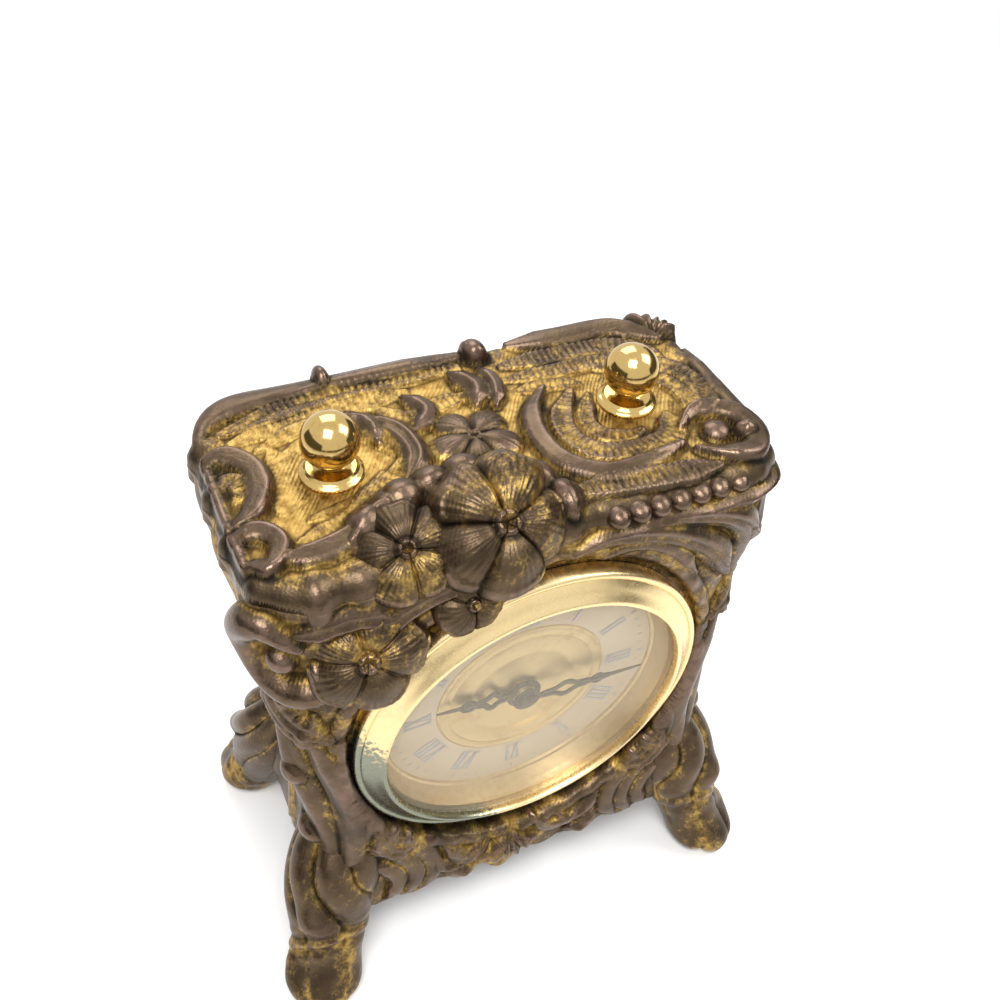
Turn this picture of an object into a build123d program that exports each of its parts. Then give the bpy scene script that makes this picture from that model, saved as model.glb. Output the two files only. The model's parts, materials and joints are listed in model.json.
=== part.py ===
"""Small rococo mantel clock: cast case, glazed dial and a wound balance movement.

Units are millimetres. X is to the right seen from the front, the front faces -Y, Z is up
and the soles stand on Z = 0. Angles on the dial are counted from +X, rising towards +Z.
"""
import math
import os

from build123d import *

os.makedirs("parts", exist_ok=True)

# Case
WALL = 2.4
DIAL_Z = 52.0
TOP_Z = 90.5
BASE_Z = 13.0
CORNER_R = 9.0
APRON_Y = -20.0
APRON_THICK = 3.0
PETAL_LEAN = math.radians(42)
# Height, half width, front y and rear y of each level of the body
BODY_LEVELS = [
    (BASE_Z, 36.5, -22.5, 20.5),
    (30.0, 35.5, -20.5, 20.5),
    (DIAL_Z, 37.0, -18.8, 21.5),
    (72.0, 39.5, -17.6, 23.0),
    (84.5, 41.5, -17.0, 25.0),
    (TOP_Z, 38.5, -15.0, 23.0),
]
# Height, centre x, centre y, half width and half depth of each level of a front leg
FRONT_LEG = [
    (34.0, 31.0, -14.5, 4.0, 4.0),
    (22.0, 34.5, -17.5, 6.5, 7.0),
    (12.0, 37.0, -20.5, 5.6, 6.0),
    (5.0, 38.0, -24.0, 5.8, 6.4),
    (0.0, 38.4, -25.4, 5.4, 5.6),
]
REAR_LEG = [
    (34.0, 31.0, 13.0, 4.0, 4.0),
    (22.0, 34.5, 15.0, 6.5, 6.5),
    (12.0, 37.0, 17.0, 5.6, 6.0),
    (5.0, 38.0, 19.0, 5.8, 6.4),
    (0.0, 38.4, 19.8, 5.4, 5.6),
]

# Bezel, glass and dial
BEZEL_R = 30.0
BEZEL_RIM_Y = -20.0
BEZEL_CREST_Y = -22.0
SEAT_Y = -17.0
SEAT_BACK_Y = -13.5
SLEEVE_R = 28.4
SLEEVE_BORE_R = 26.4
SLEEVE_END_Y = -11.5
LIP_R = 25.4
GLASS_FRONT_Y = -20.8
GLASS_EDGE = 1.2
GLASS_RISE = 3.6
DIAL_Y = -15.4
DIAL_THICK = 0.5
DIAL_CENTRE_R = 14.5
DIAL_CENTRE_THICK = 0.3
SLIP = 0.05

# Finials
FINIAL_X = 24.2
FINIAL_Y = 4.4
FINIAL_BALL_R = 4.3
FINIAL_BALL_Z = 96.4
FINIAL_COLLAR_R = 4.7
FINIAL_STUD_R = 1.4

# Back cover
COVER_W = 58.0
COVER_H = 62.0
COVER_R = 8.0
COVER_Z = 52.0
COVER_FRONT_Y = 17.0
COVER_THICK = 1.2
COVER_LEDGE = 3.5
COVER_SCREW_R = 0.9
COVER_FIT = 0.2

# Movement plates
PLATE_R = 28.2
PLATE_THICK = 1.2
REAR_PLATE_R = 27.0
REAR_PLATE_Y = 5.2
PILLAR_R = 1.5
PILLAR_CIRCLE_R = 24.7
PILLAR_ANGLES = (45, 120, 225, 315)
PIVOT_R = 0.4
RUN = 0.04
WHEEL_THICK = 0.7

# Gears: teeth and module of each mesh, pinions carry the positive profile shift
PRESSURE = math.radians(25)
BACKLASH = 0.12
BARREL_T, CENTRE_PIN_T, MOD_BARREL = 60, 10, 0.36
CENTRE_T, THIRD_PIN_T, MOD_CENTRE = 48, 6, 0.40
THIRD_T, FOURTH_PIN_T, MOD_THIRD = 45, 6, 0.34
FOURTH_T, ESCAPE_PIN_T, MOD_FOURTH = 60, 6, 0.22
CANNON_T, MINUTE_T, MOD_MINUTE = 12, 36, 0.40
MINUTE_PIN_T, HOUR_T = 10, 40
ESCAPE_T, ESCAPE_R = 15, 4.5
RATCHET_T, RATCHET_R = 24, 5.0

# Directions from each arbor to the next one, in degrees
BARREL_DIR = -90
THIRD_DIR = 30
FOURTH_DIR = 110
ESCAPE_DIR = 180
PALLET_DIR = 190
BALANCE_DIR = 203
MINUTE_DIR = -20

# Arbors and motion work
CENTRE_ARBOR_R = 0.75
CANNON_TUBE_R = 1.3
HOUR_PIPE_R = 2.0
DIAL_HOLE_R = 2.4
BARREL_ARBOR_R = 1.2
BARREL_HUB_R = 1.8
BALANCE_R = 6.4

# Time shown, as dial angles clockwise from twelve
MINUTE_AT = 93.0
HOUR_AT = 277.75


def polar(origin, distance, degrees):
    """Return the dial point at a distance and direction from another dial point."""
    angle = math.radians(degrees)
    return (origin[0] + distance * math.cos(angle), origin[1] + distance * math.sin(angle))


CENTRE = (0.0, 0.0)
MINUTE_DISTANCE = MOD_MINUTE * (CANNON_T + MINUTE_T) / 2
MOD_HOUR = 2 * MINUTE_DISTANCE / (MINUTE_PIN_T + HOUR_T)
BARREL_AT = polar(CENTRE, MOD_BARREL * (BARREL_T + CENTRE_PIN_T) / 2, BARREL_DIR)
THIRD_AT = polar(CENTRE, MOD_CENTRE * (CENTRE_T + THIRD_PIN_T) / 2, THIRD_DIR)
FOURTH_AT = polar(THIRD_AT, MOD_THIRD * (THIRD_T + FOURTH_PIN_T) / 2, FOURTH_DIR)
ESCAPE_AT = polar(FOURTH_AT, MOD_FOURTH * (FOURTH_T + ESCAPE_PIN_T) / 2, ESCAPE_DIR)
PALLET_AT = polar(ESCAPE_AT, 7.0, PALLET_DIR)
BALANCE_AT = polar(PALLET_AT, 7.3, BALANCE_DIR)
MINUTE_WHEEL_AT = polar(CENTRE, MINUTE_DISTANCE, MINUTE_DIR)
FRONT_PLATE_Y = SLEEVE_END_Y + PLATE_THICK
REAR_FACE_Y = REAR_PLATE_Y + PLATE_THICK


def front_plane(y, at=CENTRE):
    """Return a plane facing the front at depth y, with its origin at a dial point."""
    return Plane(origin=(at[0], y, DIAL_Z + at[1]), x_dir=(1, 0, 0), z_dir=(0, -1, 0))


def disc(radius, y_back, y_front, at=CENTRE, hole=0.0, mode=Mode.ADD):
    """Add or cut a round slab between two depths, with an optional hole."""
    with BuildSketch(front_plane(y_back, at)) as round_slab:
        Circle(radius)
        if hole > 0:
            Circle(hole, mode=Mode.SUBTRACT)
    extrude(round_slab.sketch, amount=y_back - y_front, mode=mode)


def involute(angle):
    """Return the involute function of an angle in radians."""
    return math.tan(angle) - angle


def gear_points(teeth, module, shift, phase):
    """Return the corner points of a gear whose flanks are chords of an involute."""
    pitch_r = module * teeth / 2
    base_r = pitch_r * math.cos(PRESSURE)
    tip_r = pitch_r + module * (0.85 + shift if shift <= 0 else 0.6 + shift)
    root_r = pitch_r - module * (1.2 - shift)
    thickness = module * (math.pi / 2 + 2 * shift * math.tan(PRESSURE) - BACKLASH)
    pitch_half = thickness / (2 * pitch_r) + involute(PRESSURE)
    base_half = pitch_half if root_r < base_r else pitch_half - involute(math.acos(base_r / root_r))
    tip_half = pitch_half - involute(math.acos(base_r / tip_r))
    points = []
    for tooth in range(teeth):
        middle = math.radians(phase) + 2 * math.pi * tooth / teeth
        corners = [(root_r, -base_half), (tip_r, -tip_half), (tip_r, tip_half), (root_r, base_half)]
        for radius, offset in corners:
            points.append((radius * math.cos(middle + offset), radius * math.sin(middle + offset)))
    return points


def gear(teeth, module, shift, phase, y_back, y_front, at=CENTRE, hole=0.0):
    """Add a toothed slab between two depths with its first tooth at the phase angle."""
    with BuildSketch(front_plane(y_back, at)) as toothed:
        with BuildLine():
            Polyline(*gear_points(teeth, module, shift, phase), close=True)
        make_face()
        if hole > 0:
            Circle(hole, mode=Mode.SUBTRACT)
    extrude(toothed.sketch, amount=y_back - y_front)


def crossings(count, circle_r, hole_r, y_back, y_front, at):
    """Cut the round openings between the arms of a wheel."""
    with BuildSketch(front_plane(y_back, at)) as openings:
        with PolarLocations(circle_r, count):
            Circle(hole_r)
    extrude(openings.sketch, amount=y_back - y_front, mode=Mode.SUBTRACT)


def saw_points(teeth, outer_r, depth):
    """Return the corner points of a wheel with sloped saw teeth."""
    points = []
    for tooth in range(teeth):
        start = 2 * math.pi * tooth / teeth
        end = start + 1.7 * math.pi / teeth
        points.append((outer_r * math.cos(start), outer_r * math.sin(start)))
        points.append(((outer_r - depth) * math.cos(end), (outer_r - depth) * math.sin(end)))
    return points


def saw_wheel(teeth, outer_r, depth, y_back, y_front, at, hole):
    """Add a saw-toothed slab between two depths."""
    with BuildSketch(front_plane(y_back, at)) as saw:
        with BuildLine():
            Polyline(*saw_points(teeth, outer_r, depth), close=True)
        make_face()
        Circle(hole, mode=Mode.SUBTRACT)
    extrude(saw.sketch, amount=y_back - y_front)


def spiral_strip(inner_r, pitch, thick, half_turns, y_back, y_front, at):
    """Add a flat spiral strip of half circles and return its least gap."""
    with BuildSketch(front_plane(y_back, at)) as strip:
        for half in range(half_turns):
            radius = inner_r + half * pitch / 2
            centre_x = 0.0 if half % 2 == 0 else -pitch / 2
            start = 0 if half % 2 == 0 else 180
            with BuildLine():
                CenterArc((centre_x, 0), radius + thick, start, 180)
                CenterArc((centre_x, 0), radius, start, 180)
                side = 1 if half % 2 == 0 else -1
                Line((centre_x + side * radius, 0), (centre_x + side * (radius + thick), 0))
                Line((centre_x - side * radius, 0), (centre_x - side * (radius + thick), 0))
            make_face()
    extrude(strip.sketch, amount=y_back - y_front)
    return pitch - thick


def level_loft(levels):
    """Loft a body through rounded rectangles given as height, half width, front and rear."""
    faces = []
    for height, half_w, front, rear in levels:
        plane = Plane(origin=(0, (front + rear) / 2, height))
        with BuildSketch(plane) as level:
            RectangleRounded(2 * half_w, rear - front, CORNER_R)
        faces.append(level.sketch)
    return faces


def leg_faces(levels, side):
    """Return the ellipses of one leg on the given side."""
    faces = []
    for height, centre_x, centre_y, half_w, half_d in levels:
        with BuildSketch(Plane(origin=(side * centre_x, centre_y, height))) as ring:
            Ellipse(half_w, half_d)
        faces.append(ring.sketch)
    return faces


def cap(plane, radius, height):
    """Add a round cap with the given foot radius and height standing on a plane."""
    ball_r = (radius * radius + height * height) / (2 * height)
    half_angle = math.degrees(math.asin(min(1.0, radius / ball_r)))
    with BuildSketch(Plane(origin=plane.origin, x_dir=plane.x_dir, z_dir=-plane.y_dir)) as profile:
        with BuildLine():
            CenterArc((0, height - ball_r), ball_r, 90 - half_angle, half_angle)
            Line((0, height), (0, 0))
            Line((0, 0), (radius, 0))
        make_face()
    revolve(profile.sketch, axis=Axis(plane.origin, plane.z_dir))


def flower(centre, facing, radius, petals):
    """Add a blossom of domed petals that droop over a ball, round a raised button."""
    front = Vector(*facing).normalized()
    across = Vector(1, 0, 0) - front * front.X
    across = across.normalized()
    up = front.cross(across)
    ball_r = 0.9 * radius
    ball_at = Vector(*centre) - front * ball_r
    with Locations(ball_at):
        Sphere(ball_r)
    for petal in range(petals):
        turn = 2 * math.pi * petal / petals + 0.3
        radial = across * math.cos(turn) + up * math.sin(turn)
        lean = front * math.cos(PETAL_LEAN) + radial * math.sin(PETAL_LEAN)
        side = front.cross(radial)
        cap(Plane(origin=ball_at + lean * (0.9 * ball_r), x_dir=side, z_dir=lean), 0.44 * radius, 0.26 * radius)
    cap(Plane(origin=ball_at + front * (0.9 * ball_r), x_dir=across, z_dir=front), 0.24 * radius, 0.24 * radius)


def scroll(centre, radius, tube_r, start, sweep_angle, y, y_back):
    """Add a C-scroll of round section round a boss, in a plane that faces the front."""
    plane = Plane(origin=(centre[0], y, centre[1]), x_dir=(1, 0, 0), z_dir=(0, -1, 0))
    with BuildLine(plane) as path:
        CenterArc((0, 0), radius, start, sweep_angle)
    with BuildSketch(Plane(origin=path.line @ 0, z_dir=path.line % 0)) as section:
        Circle(tube_r)
    sweep(section.sketch, path=path.line)
    for end in (0, 1):
        with Locations(path.line @ end):
            Sphere(1.25 * tube_r)
    disc(radius, y_back, y - 0.4, at=(centre[0], centre[1] - DIAL_Z))


BODY_INNER = []
for level_z, level_w, level_f, level_r in BODY_LEVELS:
    inner_z = min(max(level_z, BASE_Z + WALL), TOP_Z - WALL)
    BODY_INNER.append((inner_z, level_w - WALL, level_f + WALL, level_r - WALL))

with BuildPart() as case_casting:
    loft(level_loft(BODY_LEVELS))
    for leg_side in (-1, 1):
        loft(leg_faces(FRONT_LEG, leg_side))
        loft(leg_faces(REAR_LEG, leg_side))
    # Blossoms on the crest and at the upper left of the front
    flower((-6.5, -15.6, 92.6), (0.0, -0.7, 0.72), 10.5, 5)
    flower((-20.0, -14.6, 91.2), (-0.1, -0.6, 0.8), 7.5, 5)
    flower((-27.5, -19.4, 77.5), (-0.15, -0.9, 0.35), 8.0, 5)
    # Scrolls on the corners of the front and at the rear of the top
    scroll((-35.6, 80.5), 5.6, 2.2, 60, 190, -15.4, -8.0)
    scroll((35.4, 81.0), 5.2, 2.2, -70, 190, -15.4, -8.0)
    scroll((-34.6, 44.0), 3.4, 1.8, 90, 180, -17.0, -10.0)
    scroll((34.6, 43.0), 3.4, 1.8, -90, 180, -17.0, -10.0)
    scroll((35.4, 83.6), 5.0, 2.2, -60, 190, 22.4, 16.0)
    scroll((-35.4, 83.6), 5.0, 2.2, 50, 190, 22.4, 16.0)
    # Scalloped apron below the front
    with BuildSketch(front_plane(APRON_Y, (0, -DIAL_Z))) as apron:
        with BuildLine():
            Polyline((-30, 15), (-30, BASE_Z + 6), (30, BASE_Z + 6), (30, 15))
            ThreePointArc((-30, 15), (-24, 11.2), (-17, 10.6))
            ThreePointArc((-17, 10.6), (-10, 11.6), (-4, 8.4))
            ThreePointArc((-4, 8.4), (3, 11.8), (10, 10.2))
            ThreePointArc((10, 10.2), (21, 11.0), (30, 15))
        make_face()
    extrude(apron.sketch, amount=APRON_THICK)
    # Hollow inside, seats for the bezel and the back cover
    loft(level_loft(BODY_INNER), mode=Mode.SUBTRACT)
    disc(SLEEVE_R + 4.0, SEAT_BACK_Y, SEAT_Y)
    disc(BEZEL_R + 0.3, SEAT_Y, SEAT_Y - 14, mode=Mode.SUBTRACT)
    disc(SLEEVE_R + SLIP, 0, SEAT_Y, mode=Mode.SUBTRACT)
    with BuildSketch(Plane(origin=(0, COVER_FRONT_Y, COVER_Z), x_dir=(1, 0, 0), z_dir=(0, -1, 0))) as ledge:
        RectangleRounded(COVER_W + 6, COVER_H + 6, COVER_R)
        RectangleRounded(COVER_W - 2 * COVER_LEDGE, COVER_H - 2 * COVER_LEDGE, COVER_R, mode=Mode.SUBTRACT)
    extrude(ledge.sketch, amount=2.5)
    rebate_w = COVER_W + 2 * COVER_FIT
    rebate_h = COVER_H + 2 * COVER_FIT
    with BuildSketch(Plane(origin=(0, 40, COVER_Z), x_dir=(1, 0, 0), z_dir=(0, -1, 0))) as rebate:
        RectangleRounded(rebate_w, rebate_h, COVER_R)
    extrude(rebate.sketch, amount=40 - COVER_FRONT_Y, mode=Mode.SUBTRACT)
    with BuildSketch(Plane(origin=(0, 0, TOP_Z + 5))) as finial_holes:
        with Locations((-FINIAL_X, FINIAL_Y), (FINIAL_X, FINIAL_Y)):
            Circle(FINIAL_STUD_R + SLIP)
    extrude(finial_holes.sketch, amount=-12, mode=Mode.SUBTRACT)
    with BuildSketch(Plane(origin=(0, 0, -10))) as under_floor:
        Rectangle(200, 200)
    extrude(under_floor.sketch, amount=10, mode=Mode.SUBTRACT)
case_casting.part.label = "case_casting"
export_step(case_casting.part, "parts/case_casting.step")
print("case solids", len(case_casting.part.solids()), "volume", round(case_casting.part.volume))

# Back cover and its screws
cover_screw_x = COVER_W / 2 - 3.0
cover_screw_z = COVER_H / 2 - 8.0
cover_back_y = COVER_FRONT_Y + COVER_THICK
COVER_SCREWS = [(sx * cover_screw_x, sz * cover_screw_z) for sx in (-1, 1) for sz in (-1, 1)]
SET_HOLE_R = 3.0
KEY_HOLE_R = 3.0

with BuildPart() as back_cover:
    with BuildSketch(Plane(origin=(0, cover_back_y, COVER_Z), x_dir=(1, 0, 0), z_dir=(0, -1, 0))) as cover:
        RectangleRounded(COVER_W, COVER_H, COVER_R)
        with Locations(*COVER_SCREWS):
            Circle(COVER_SCREW_R + SLIP, mode=Mode.SUBTRACT)
    extrude(cover.sketch, amount=COVER_THICK)
    disc(SET_HOLE_R, cover_back_y, COVER_FRONT_Y, mode=Mode.SUBTRACT)
    disc(KEY_HOLE_R, cover_back_y, COVER_FRONT_Y, at=BARREL_AT, mode=Mode.SUBTRACT)
back_cover.part.label = "back_cover"
export_step(back_cover.part, "parts/back_cover.step")

with BuildPart() as back_cover_screws:
    for screw_at in COVER_SCREWS:
        disc(1.7, cover_back_y + 0.8, cover_back_y, at=(screw_at[0], screw_at[1] + COVER_Z - DIAL_Z))
        disc(COVER_SCREW_R, cover_back_y, COVER_FRONT_Y, at=(screw_at[0], screw_at[1] + COVER_Z - DIAL_Z))
back_cover_screws.part.label = "back_cover_screws"
export_step(back_cover_screws.part, "parts/back_cover_screws.step")


def finial_profile(x):
    """Draw the half outline of a finial on the plane through its axis."""
    with BuildSketch(Plane(origin=(x, FINIAL_Y, 0), x_dir=(1, 0, 0), z_dir=(0, -1, 0))) as outline:
        with BuildLine():
            neck_z = FINIAL_BALL_Z - math.sqrt(FINIAL_BALL_R ** 2 - 1.9 ** 2)
            ball_start = math.degrees(math.asin((neck_z - FINIAL_BALL_Z) / FINIAL_BALL_R))
            CenterArc((0, FINIAL_BALL_Z), FINIAL_BALL_R, ball_start, 90 - ball_start)
            Polyline(
                (1.9, neck_z),
                (1.9, TOP_Z + 1.3),
                (FINIAL_COLLAR_R - 0.8, TOP_Z + 1.3),
                (FINIAL_COLLAR_R, TOP_Z + 0.5),
                (FINIAL_COLLAR_R, TOP_Z),
                (FINIAL_STUD_R, TOP_Z),
                (FINIAL_STUD_R, TOP_Z - 6.5),
                (0, TOP_Z - 6.5),
                (0, FINIAL_BALL_Z + FINIAL_BALL_R),
            )
        make_face()
    return outline.sketch


with BuildPart() as finial_left:
    revolve(finial_profile(-FINIAL_X), axis=Axis((-FINIAL_X, FINIAL_Y, 0), (0, 0, 1)))
finial_left.part.label = "finial_left"
export_step(finial_left.part, "parts/finial_left.step")

with BuildPart() as finial_right:
    revolve(finial_profile(FINIAL_X), axis=Axis((FINIAL_X, FINIAL_Y, 0), (0, 0, 1)))
finial_right.part.label = "finial_right"
export_step(finial_right.part, "parts/finial_right.step")

with BuildPart() as finial_nuts:
    with BuildSketch(Plane(origin=(0, 0, TOP_Z - WALL))) as nuts:
        with Locations((-FINIAL_X, FINIAL_Y), (FINIAL_X, FINIAL_Y)):
            RegularPolygon(3.0, 6)
            Circle(FINIAL_STUD_R, mode=Mode.SUBTRACT)
    extrude(nuts.sketch, amount=-2.2)
finial_nuts.part.label = "finial_nuts"
export_step(finial_nuts.part, "parts/finial_nuts.step")


# Bezel, glass and dial
def turned(points):
    """Revolve a profile of radius and depth points about the dial axis."""
    with BuildSketch(Plane(origin=(0, 0, DIAL_Z), x_dir=(1, 0, 0), z_dir=(0, 0, 1))) as profile:
        with BuildLine():
            Polyline(*points, close=True)
        make_face()
    revolve(profile.sketch, axis=Axis((0, 0, DIAL_Z), (0, 1, 0)))


with BuildPart() as bezel_ring:
    turned(
        [
            (SLEEVE_R, SEAT_Y),
            (BEZEL_R, SEAT_Y),
            (BEZEL_R, BEZEL_RIM_Y + 0.4),
            (BEZEL_R - 0.5, BEZEL_RIM_Y),
            (BEZEL_R - 1.0, BEZEL_RIM_Y),
            (LIP_R + 0.7, BEZEL_CREST_Y),
            (LIP_R, BEZEL_CREST_Y),
            (LIP_R, GLASS_FRONT_Y),
            (SLEEVE_BORE_R, GLASS_FRONT_Y),
            (SLEEVE_BORE_R, SLEEVE_END_Y),
            (SLEEVE_R, SLEEVE_END_Y),
        ]
    )
    for screw_angle in (0, 150, 210):
        screw_hole_at = polar(CENTRE, (SLEEVE_R + SLEEVE_BORE_R) / 2, screw_angle)
        disc(0.45, SLEEVE_END_Y, SLEEVE_END_Y - 2.5, at=screw_hole_at, mode=Mode.SUBTRACT)
bezel_ring.part.label = "bezel_ring"
export_step(bezel_ring.part, "parts/bezel_ring.step")

glass_r = SLEEVE_BORE_R - SLIP
dome_r = LIP_R - SLIP
glass_back_y = GLASS_FRONT_Y + GLASS_EDGE
dome_ball_r = (dome_r ** 2 + GLASS_RISE ** 2) / (2 * GLASS_RISE)
dome_half = math.degrees(math.asin(dome_r / dome_ball_r))
with BuildPart() as glass_dome:
    with BuildSketch(Plane(origin=(0, 0, DIAL_Z), x_dir=(1, 0, 0), z_dir=(0, 0, 1))) as glass_half:
        with BuildLine():
            Line((0, glass_back_y - GLASS_RISE), (0, GLASS_FRONT_Y - GLASS_RISE))
            CenterArc((0, GLASS_FRONT_Y - GLASS_RISE + dome_ball_r), dome_ball_r, -90, dome_half)
            Polyline(
                (dome_r, GLASS_FRONT_Y), (glass_r, GLASS_FRONT_Y), (glass_r, glass_back_y), (dome_r, glass_back_y)
            )
            CenterArc((0, glass_back_y - GLASS_RISE + dome_ball_r), dome_ball_r, -90, dome_half)
        make_face()
    revolve(glass_half.sketch, axis=Axis((0, 0, DIAL_Z), (0, 1, 0)))
glass_dome.part.label = "glass_dome"
export_step(glass_dome.part, "parts/glass_dome.step")

with BuildPart() as dial_ring:
    turned(
        [
            (SLEEVE_BORE_R - SLIP, glass_back_y),
            (SLEEVE_BORE_R - SLIP, DIAL_Y),
            (LIP_R - 1.6, DIAL_Y),
            (LIP_R - 0.4, glass_back_y),
        ]
    )
dial_ring.part.label = "dial_ring"
export_step(dial_ring.part, "parts/dial_ring.step")

with BuildPart() as dial_plate:
    disc(SLEEVE_BORE_R - SLIP, DIAL_Y + DIAL_THICK, DIAL_Y, hole=DIAL_HOLE_R)
dial_plate.part.label = "dial_plate"
export_step(dial_plate.part, "parts/dial_plate.step")

with BuildPart() as dial_centre:
    disc(DIAL_CENTRE_R, DIAL_Y, DIAL_Y - DIAL_CENTRE_THICK, hole=DIAL_HOLE_R)
dial_centre.part.label = "dial_centre"
export_step(dial_centre.part, "parts/dial_centre.step")

with BuildPart() as retaining_ring:
    disc(SLEEVE_R + 3.0, SEAT_BACK_Y + 1.8, SEAT_BACK_Y, hole=SLEEVE_R)
retaining_ring.part.label = "retaining_ring"
export_step(retaining_ring.part, "parts/retaining_ring.step")

# Movement plates, pillars and screws
PIVOTS = (THIRD_AT, FOURTH_AT, ESCAPE_AT, PALLET_AT, BALANCE_AT)
PILLARS_AT = [polar(CENTRE, PILLAR_CIRCLE_R, pillar_angle) for pillar_angle in PILLAR_ANGLES]
CLICK_AT = polar(BARREL_AT, 8.2, 20)
with BuildPart() as front_plate:
    disc(PLATE_R, FRONT_PLATE_Y, SLEEVE_END_Y)
    disc(SLEEVE_BORE_R - SLIP, SLEEVE_END_Y, DIAL_Y + DIAL_THICK, hole=LIP_R - 0.6)
    disc(0.7, SLEEVE_END_Y, DIAL_Y + DIAL_THICK + 0.4, at=MINUTE_WHEEL_AT)
    disc(CENTRE_ARBOR_R + RUN, FRONT_PLATE_Y, SLEEVE_END_Y, mode=Mode.SUBTRACT)
    disc(BARREL_ARBOR_R + RUN, FRONT_PLATE_Y, SLEEVE_END_Y, at=BARREL_AT, mode=Mode.SUBTRACT)
    for pivot_at in PIVOTS:
        disc(PIVOT_R + RUN, FRONT_PLATE_Y, SLEEVE_END_Y, at=pivot_at, mode=Mode.SUBTRACT)
    for pillar_at in PILLARS_AT:
        disc(0.8 + SLIP, FRONT_PLATE_Y, SLEEVE_END_Y, at=pillar_at, mode=Mode.SUBTRACT)
    for screw_angle in (0, 150, 210):
        screw_hole_at = polar(CENTRE, (SLEEVE_R + SLEEVE_BORE_R) / 2, screw_angle)
        disc(0.45 + SLIP, FRONT_PLATE_Y, SLEEVE_END_Y, at=screw_hole_at, mode=Mode.SUBTRACT)
front_plate.part.label = "front_plate"
export_step(front_plate.part, "parts/front_plate.step")

with BuildPart() as movement_screws:
    for screw_angle in (0, 150, 210):
        screw_at = polar(CENTRE, (SLEEVE_R + SLEEVE_BORE_R) / 2, screw_angle)
        disc(0.45, FRONT_PLATE_Y, SLEEVE_END_Y - 2.4, at=screw_at)
        disc(0.9, FRONT_PLATE_Y + 0.7, FRONT_PLATE_Y, at=screw_at)
movement_screws.part.label = "movement_screws"
export_step(movement_screws.part, "parts/movement_screws.step")

with BuildPart() as pillars:
    for pillar_at in PILLARS_AT:
        disc(PILLAR_R, REAR_PLATE_Y, FRONT_PLATE_Y, at=pillar_at)
        disc(0.8, FRONT_PLATE_Y, SLEEVE_END_Y, at=pillar_at)
        disc(0.8, REAR_FACE_Y + 1.2, REAR_PLATE_Y, at=pillar_at)
pillars.part.label = "pillars"
export_step(pillars.part, "parts/pillars.step")

with BuildPart() as rear_plate:
    disc(REAR_PLATE_R, REAR_FACE_Y, REAR_PLATE_Y)
    disc(2.0, REAR_FACE_Y + 0.9, REAR_FACE_Y, at=BALANCE_AT)
    disc(CENTRE_ARBOR_R + RUN, REAR_FACE_Y, REAR_PLATE_Y, mode=Mode.SUBTRACT)
    disc(BARREL_ARBOR_R + RUN, REAR_FACE_Y, REAR_PLATE_Y, at=BARREL_AT, mode=Mode.SUBTRACT)
    disc(0.6 + RUN, REAR_FACE_Y, REAR_PLATE_Y, at=CLICK_AT, mode=Mode.SUBTRACT)
    for pivot_at in PIVOTS:
        disc(PIVOT_R + RUN, REAR_FACE_Y + 0.9, REAR_PLATE_Y, at=pivot_at, mode=Mode.SUBTRACT)
    for pillar_at in PILLARS_AT:
        disc(0.8 + SLIP, REAR_FACE_Y, REAR_PLATE_Y, at=pillar_at, mode=Mode.SUBTRACT)
rear_plate.part.label = "rear_plate"
export_step(rear_plate.part, "parts/rear_plate.step")

with BuildPart() as pillar_nuts:
    for pillar_at in PILLARS_AT:
        with BuildSketch(front_plane(REAR_FACE_Y + 1.0, pillar_at)) as nut:
            RegularPolygon(1.8, 6)
            Circle(0.8, mode=Mode.SUBTRACT)
        extrude(nut.sketch, amount=1.0)
pillar_nuts.part.label = "pillar_nuts"
export_step(pillar_nuts.part, "parts/pillar_nuts.step")

# Barrel, mainspring and winding work
BARREL_FRONT_Y = -7.8
BARREL_TEETH_Y = 2.0
BARREL_IN_R = 9.0
BARREL_OUT_R = 9.8
with BuildPart() as barrel:
    gear(BARREL_T, MOD_BARREL, -0.3, 90, BARREL_TEETH_Y, BARREL_TEETH_Y - 1.2, at=BARREL_AT)
    disc(BARREL_OUT_R, BARREL_TEETH_Y - 1.2, BARREL_FRONT_Y, at=BARREL_AT, hole=BARREL_IN_R)
    disc(BARREL_HUB_R - 0.4 + RUN, BARREL_TEETH_Y, BARREL_TEETH_Y - 1.2, at=BARREL_AT, mode=Mode.SUBTRACT)
barrel.part.label = "barrel"
export_step(barrel.part, "parts/barrel.step")

with BuildPart() as barrel_cover:
    disc(BARREL_IN_R, BARREL_FRONT_Y + 0.8, BARREL_FRONT_Y, at=BARREL_AT, hole=BARREL_HUB_R - 0.4 + RUN)
barrel_cover.part.label = "barrel_cover"
export_step(barrel_cover.part, "parts/barrel_cover.step")

with BuildPart() as mainspring:
    main_gap = spiral_strip(BARREL_HUB_R + 0.35, 1.3, 0.5, 9, BARREL_TEETH_Y - 1.5, BARREL_FRONT_Y + 1.1, BARREL_AT)
mainspring.part.label = "mainspring"
export_step(mainspring.part, "parts/mainspring.step")
print("mainspring least gap", round(main_gap, 3))

RATCHET_Y = REAR_FACE_Y + 0.3
with BuildPart() as barrel_arbor:
    disc(BARREL_ARBOR_R, 23.5, SLEEVE_END_Y + 0.2, at=BARREL_AT)
    disc(BARREL_HUB_R - 0.4, BARREL_TEETH_Y + 0.6, BARREL_FRONT_Y - 0.6, at=BARREL_AT)
    disc(BARREL_HUB_R, BARREL_TEETH_Y - 1.3, BARREL_FRONT_Y + 0.9, at=BARREL_AT)
barrel_arbor.part.label = "barrel_arbor"
export_step(barrel_arbor.part, "parts/barrel_arbor.step")

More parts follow.
